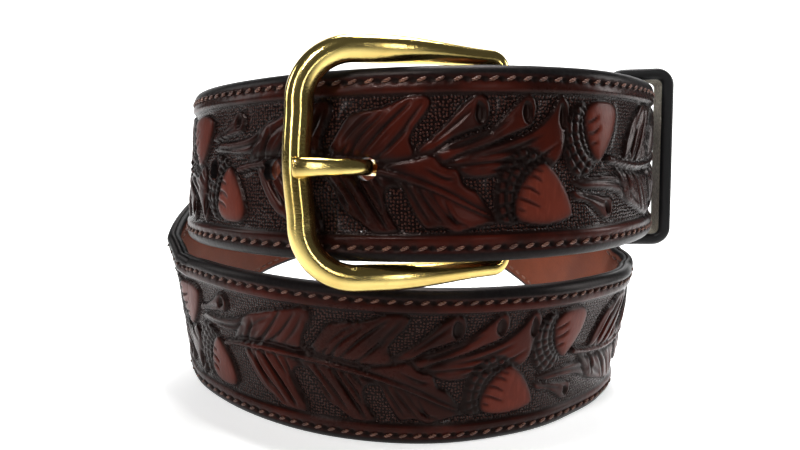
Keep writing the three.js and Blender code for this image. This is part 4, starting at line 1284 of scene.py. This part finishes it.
def stitch_row(first, last, height, depth, side):
    """The places of stitches along the strap between two turns, with their directions."""
    pitch = bpy.context.scene.belt_sizes.stitch_pitch / MM
    lengths = np.arange(length_at(first), length_at(last), pitch)
    turns = turn_at(lengths)
    point, along, out, up = strap_axes(turns)
    heights = MIDDLE + (height - MIDDLE) * tip_share(turns)
    points = place_on((point, along, out, up), depth + 0 * turns, heights)
    return seated(points), along, out * side


def length_of(name, description, default, low, high):
    return bpy.props.FloatProperty(name=name, description=description, default=default, min=low, max=high,
                                   unit="LENGTH", precision=5)


def power_of(name, description, default):
    return bpy.props.FloatProperty(name=name, description=description, default=default, min=0.0,
                                   subtype="POWER")


class BeltSizes(bpy.types.PropertyGroup):
    tooling_depth: length_of("Tooling depth", "How far the ground lies below the leaves", 0.0008, 0.0, 0.0015)
    mesh_step: length_of("Mesh step", "Distance between the points of the tooled face", 0.00042, 0.0003, 0.003)
    bead_pitch: length_of("Bead pitch", "Distance between the beads of the stippled ground", 0.00086, 0.0003, 0.003)
    stitch_pitch: length_of("Stitch pitch", "Distance from one stitch to the next", 0.00395, 0.002, 0.01)
    stitch_length: length_of("Stitch length", "Length of one stitch", 0.0026, 0.001, 0.01)
    stitch_width: length_of("Thread width", "Width of the thread", 0.0009, 0.0003, 0.003)


def screen_colour(red, green, blue):
    """A colour given as on a screen, from 0 to 255, for a shader."""
    return tuple((v / 255 / 12.92) if v / 255 <= 0.04045 else ((v / 255 + 0.055) / 1.055) ** 2.4
                 for v in (red, green, blue)) + (1.0,)


def colour_of(name, description, *screen):
    return bpy.props.FloatVectorProperty(name=name, description=description, subtype="COLOR", size=4,
                                         min=0.0, max=1.0, default=screen_colour(*screen))


class BeltColours(bpy.types.PropertyGroup):
    hide_dark: colour_of("Dark hide", "Leaves and borders", 41, 13, 8)
    hide_warm: colour_of("Warm hide", "Worn and raised places", 60, 19, 11)
    # Darker clouds of the hide, also used as painted shade in the thread's twist and at its ends.
    deep_hide_and_thread_shade: colour_of("Deep hide", "Darker clouds", 22, 8, 6)
    # Antique stain in the recesses, also standing in as painted shade in the recesses, cuts, ground and awl pits.
    antique_stain_and_shade: colour_of("Antique stain", "Stain in the recesses", 13, 6, 5)
    # Painted highlight on the tops of the ground's beads.
    bead: colour_of("Beads", "Tops of the ground's beads", 80, 44, 36)
    # Raw leather colour of the hole walls, shown only where the drills paint light on them.
    raw: colour_of("Raw leather", "Walls of the punched holes", 140, 82, 54)
    nut: colour_of("Nuts", "Smooth acorns", 80, 30, 20)
    nut_light: colour_of("Light nuts", "Lighter places of the acorns", 104, 46, 33)
    edge: colour_of("Edge", "Burnished black edge", 11, 10, 11)
    edge_worn: colour_of("Worn edge", "Greyer places of the edge", 34, 32, 32)
    lining: colour_of("Lining", "Inner leather", 88, 41, 22)
    lining_light: colour_of("Light lining", "Lighter places of the inner leather", 108, 53, 31)
    lining_dark: colour_of("Dark lining", "Fibres of the inner leather", 66, 31, 17)
    flesh: colour_of("Flesh side", "Undyed fibres inside the keeper", 236, 228, 210)
    flesh_dark: colour_of("Dark flesh side", "Shaded fibres inside the keeper", 150, 141, 124)
    thread: colour_of("Thread", "Stitches", 136, 92, 74)
    thread_dark: colour_of("Dark thread", "Shaded thread", 88, 54, 42)
    brass: colour_of("Brass", "Polished buckle", 242, 216, 132)
    brass_dark: colour_of("Tarnish", "Duller places of the buckle", 190, 152, 74)


class StageSettings(bpy.types.PropertyGroup):
    key_light: power_of("Top light", "Large soft light above", 1.9)
    side_light: power_of("Side lights", "Soft lights on both sides", 0.26)
    front_light: power_of("Front light", "Soft light behind the camera", 0.055)
    strip_light: power_of("Strip lights", "Two narrow tall lights in front", 0.08)
    wall_light: power_of("Wall light", "Light on the back of the stage", 22.0)
    room_light: bpy.props.FloatProperty(name="Room light", description="Even light all round", default=0.06,
                                        min=0.0, max=0.9)
    floor_glow: bpy.props.FloatProperty(name="Floor glow", description="Light of the table itself", default=0.6,
                                        min=0.0, max=2.0)
    lens: bpy.props.FloatProperty(name="Lens", description="The camera's focal length in millimetres",
                                  default=28.55, min=10.0)


def room_world(strength):
    """Even light that shows as white behind the stage and stays dim in the reflections."""
    world = bpy.data.worlds.new("room")
    world.use_nodes = True
    tree = world.node_tree
    sky = tree.nodes["Background"]
    path = tree.nodes.new("ShaderNodeLightPath")
    level = tree.nodes.new("ShaderNodeMath")
    level.operation = "MULTIPLY_ADD"
    tree.links.new(path.outputs["Is Camera Ray"], level.inputs[0])
    level.inputs[1].default_value = 0.9 - strength
    level.inputs[2].default_value = strength
    tree.links.new(level.outputs[0], sky.inputs["Strength"])
    sky.inputs["Color"].default_value = (1.0, 1.0, 1.0, 1.0)
    return world


def soft_light(name, place, target, width, height, power, spread):
    data = bpy.data.lights.new(name, "AREA")
    data.spread = math.radians(spread)
    data.shape = "RECTANGLE"
    data.size, data.size_y = width, height
    data.energy = power
    light = bpy.data.objects.new(name, data)
    bpy.context.scene.collection.objects.link(light)
    away = unit(np.array(place, float) - np.array(target, float))
    side = unit(np.cross((0.0, 0.0, 1.0), away) + np.array([1e-6, 0, 0]))
    matrix = Matrix.Identity(4)
    for column, axis in enumerate((side, np.cross(away, side), away, place)):
        for row in range(3):
            matrix[row][column] = float(axis[row])
    light.matrix_world = matrix
    return light


class BELT_OT_stage(bpy.types.Operator):
    """Makes the camera, the pale floor with its upswept back, and the soft lights"""

    bl_idname = "belt.stage"
    bl_label = "Stage"

    def execute(self, context):
        stage = context.scene.belt_stage
        data = bpy.data.cameras.new("camera")
        data.sensor_fit = "HORIZONTAL"
        data.sensor_width = 36.0
        data.lens = stage.lens
        data.clip_start, data.clip_end = 0.005, 20.0
        camera = bpy.data.objects.new("camera", data)
        context.scene.collection.objects.link(camera)
        pitch, roll = math.radians(90 - 6.03), math.radians(2.06)
        turn = Matrix.Rotation(pitch, 4, "X") @ Matrix.Rotation(roll, 4, "Z")
        camera.matrix_world = Matrix.Translation((-0.00347, -0.21825, 0.07655)) @ turn
        context.scene.camera = camera
        profile = [(-1.0, -0.0003), (0.5, -0.0003)]
        for angle in np.radians(np.linspace(0, 90, 14)):
            profile.append((0.9 + 0.5 * math.sin(angle), 0.4997 - 0.5 * math.cos(angle)))
        profile.append((1.4, 2.2))
        points, faces = [], []
        for y, z in profile:
            points += [(-1150, y / MM, z / MM), (1150, y / MM, z / MM)]
        for i in range(len(profile) - 1):
            faces.append((2 * i, 2 * i + 1, 2 * i + 3, 2 * i + 2))
        floor = new_mesh("floor", points, faces)
        floor.data.materials.append(stage_finish("pale_floor", (0.85, 0.85, 0.85, 1.0), stage.floor_glow))
        coil, tier = (0, 0, 0.07), (0, -0.05, 0.09)
        strips = stage.strip_light
        for light in (
            ("light_top", (0.03, 0.2, 0.9), (0, 0.16, 0), 0.45, 0.3, stage.key_light, 60),
            ("light_left", (-0.75, 0.1, 0.35), coil, 0.12, 0.4, 0.5 * stage.side_light, 60),
            ("light_right", (0.75, 0.05, 0.3), coil, 0.15, 0.4, stage.side_light, 60),
            ("light_front", (-0.3, -0.6, 0.62), (0, -0.05, 0.12), 0.12, 0.035, stage.front_light, 16),
            ("strip_left", (-0.42, -0.5, 0.25), tier, 0.03, 0.5, strips, 50),
            ("strip_right", (0.26, -0.62, 0.25), tier, 0.02, 0.5, 0.7 * strips, 50),
            ("light_wall", (0, 0.55, 0.9), (0, 1.4, 0.35), 1.1, 0.5, stage.wall_light, 180),
        ):
            soft_light(*light)
        context.scene.world = room_world(stage.room_light)
        context.scene.view_settings.view_transform = "Standard"
        return {"FINISHED"}


class BELT_OT_strap(bpy.types.Operator):
    """Sweeps the tooled outer leather along the coil and folds its end round the heel bar"""

    bl_idname = "belt.strap"
    bl_label = "Tooled strap"

    def execute(self, context):
        step = context.scene.belt_sizes.mesh_step / MM
        leather = shared_finish("carved_hide", tooled_leather_finish)
        for name, first, last in STRAP_PIECES:
            strap_piece(name, first, last, step, leather)
        rings, attributes = fold_rings()
        fold = sweep("strap_fold", rings, attributes=attributes)
        cut(fold, [slot_cutter()])
        finish_piece(fold, leather, "tooled_leather", "strap")
        return {"FINISHED"}


class BELT_OT_lining(bpy.types.Operator):
    """Sweeps the lining along the inner side of the coil"""

    bl_idname = "belt.lining"
    bl_label = "Lining"

    def execute(self, context):
        rings, attributes = lining_rings()
        piece = sweep("smooth_lining", rings, attributes=attributes)
        cut(piece, [hole_drill(turn) for turn in HOLE_TURNS])
        finish_piece(piece, shared_finish("chestnut_lining", lining_finish), "lining_leather", "lining")
        return {"FINISHED"}


class BELT_OT_buckle(bpy.types.Operator):
    """Makes the brass frame and the prong that rests on it"""

    bl_idname = "belt.buckle"
    bl_label = "Buckle"

    def execute(self, context):
        brass = shared_finish("polished_brass", brass_finish)
        bar = sweep("brass_frame", frame_rings(), closed=True)
        finish_piece(bar, brass, "buckle_brass", "buckle_frame")
        prong = sweep("brass_prong", prong_rings())
        finish_piece(prong, brass, "buckle_brass", "prong")
        return {"FINISHED"}


class BELT_OT_keeper(bpy.types.Operator):
    """Winds the keeper round both straps"""

    bl_idname = "belt.keeper"
    bl_label = "Keeper"

    def execute(self, context):
        rings, attributes = keeper_rings()
        piece = sweep("keeper_loop", rings, closed=True, attributes=attributes)
        finish_piece(piece, shared_finish("keeper_hide", keeper_finish), "keeper_leather", "keeper")
        return {"FINISHED"}


class BELT_OT_stitches(bpy.types.Operator):
    """Sews both edges of the strap, on the tooled face and on the lining"""

    bl_idname = "belt.stitches"
    bl_label = "Stitches"

    def execute(self, context):
        thread = shared_finish("waxed_thread", thread_finish)
        for face, first, depth, side, slant, slot in (
            ("face", HEEL_TURN + STITCH_LEAD, HALF_THICKNESS + 0.02, 1, 0.38, "tooled_leather"),
            ("lining", 60.0, -HALF_THICKNESS + 0.1, -1, -0.1, "lining_leather"),
        ):
            for end, height in (("low", SEAM_INSET), ("high", STRAP_WIDTH - SEAM_INSET)):
                row = stitch_row(first, TIP_TURN - 2, height, depth, side)
                sew(f"stitches_{face}_{end}", *row, slant, slot, thread)
        return {"FINISHED"}


class BELT_PT_panel(bpy.types.Panel):
    """Lists the belt's pieces and their settings"""

    bl_label = "Tooled Belt"
    bl_idname = "BELT_PT_panel"
    bl_space_type = "VIEW_3D"
    bl_region_type = "UI"
    bl_category = "Belt"

    def draw(self, context):
        for operator in OPERATORS:
            self.layout.operator(operator.bl_idname)
        for group in (context.scene.belt_sizes, context.scene.belt_colours, context.scene.belt_stage):
            box = self.layout.box()
            for name in group.__annotations__:
                box.prop(group, name)


GROUPS = (("belt_sizes", BeltSizes), ("belt_colours", BeltColours), ("belt_stage", StageSettings))
OPERATORS = (BELT_OT_stage, BELT_OT_strap, BELT_OT_lining, BELT_OT_buckle, BELT_OT_keeper, BELT_OT_stitches)


def register():
    for name, group in GROUPS:
        bpy.utils.register_class(group)
        setattr(bpy.types.Scene, name, bpy.props.PointerProperty(type=group))
    for cls in (*OPERATORS, BELT_PT_panel):
        bpy.utils.register_class(cls)


def unregister():
    for cls in (BELT_PT_panel, *reversed(OPERATORS)):
        bpy.utils.unregister_class(cls)
    for name, group in reversed(GROUPS):
        delattr(bpy.types.Scene, name)
        bpy.utils.unregister_class(group)


def main():
    register()
    bpy.ops.belt.stage()
    bpy.ops.belt.strap()
    bpy.ops.belt.lining()
    bpy.ops.belt.buckle()
    bpy.ops.belt.keeper()
    bpy.ops.belt.stitches()


if __name__ == "__main__":
    main()
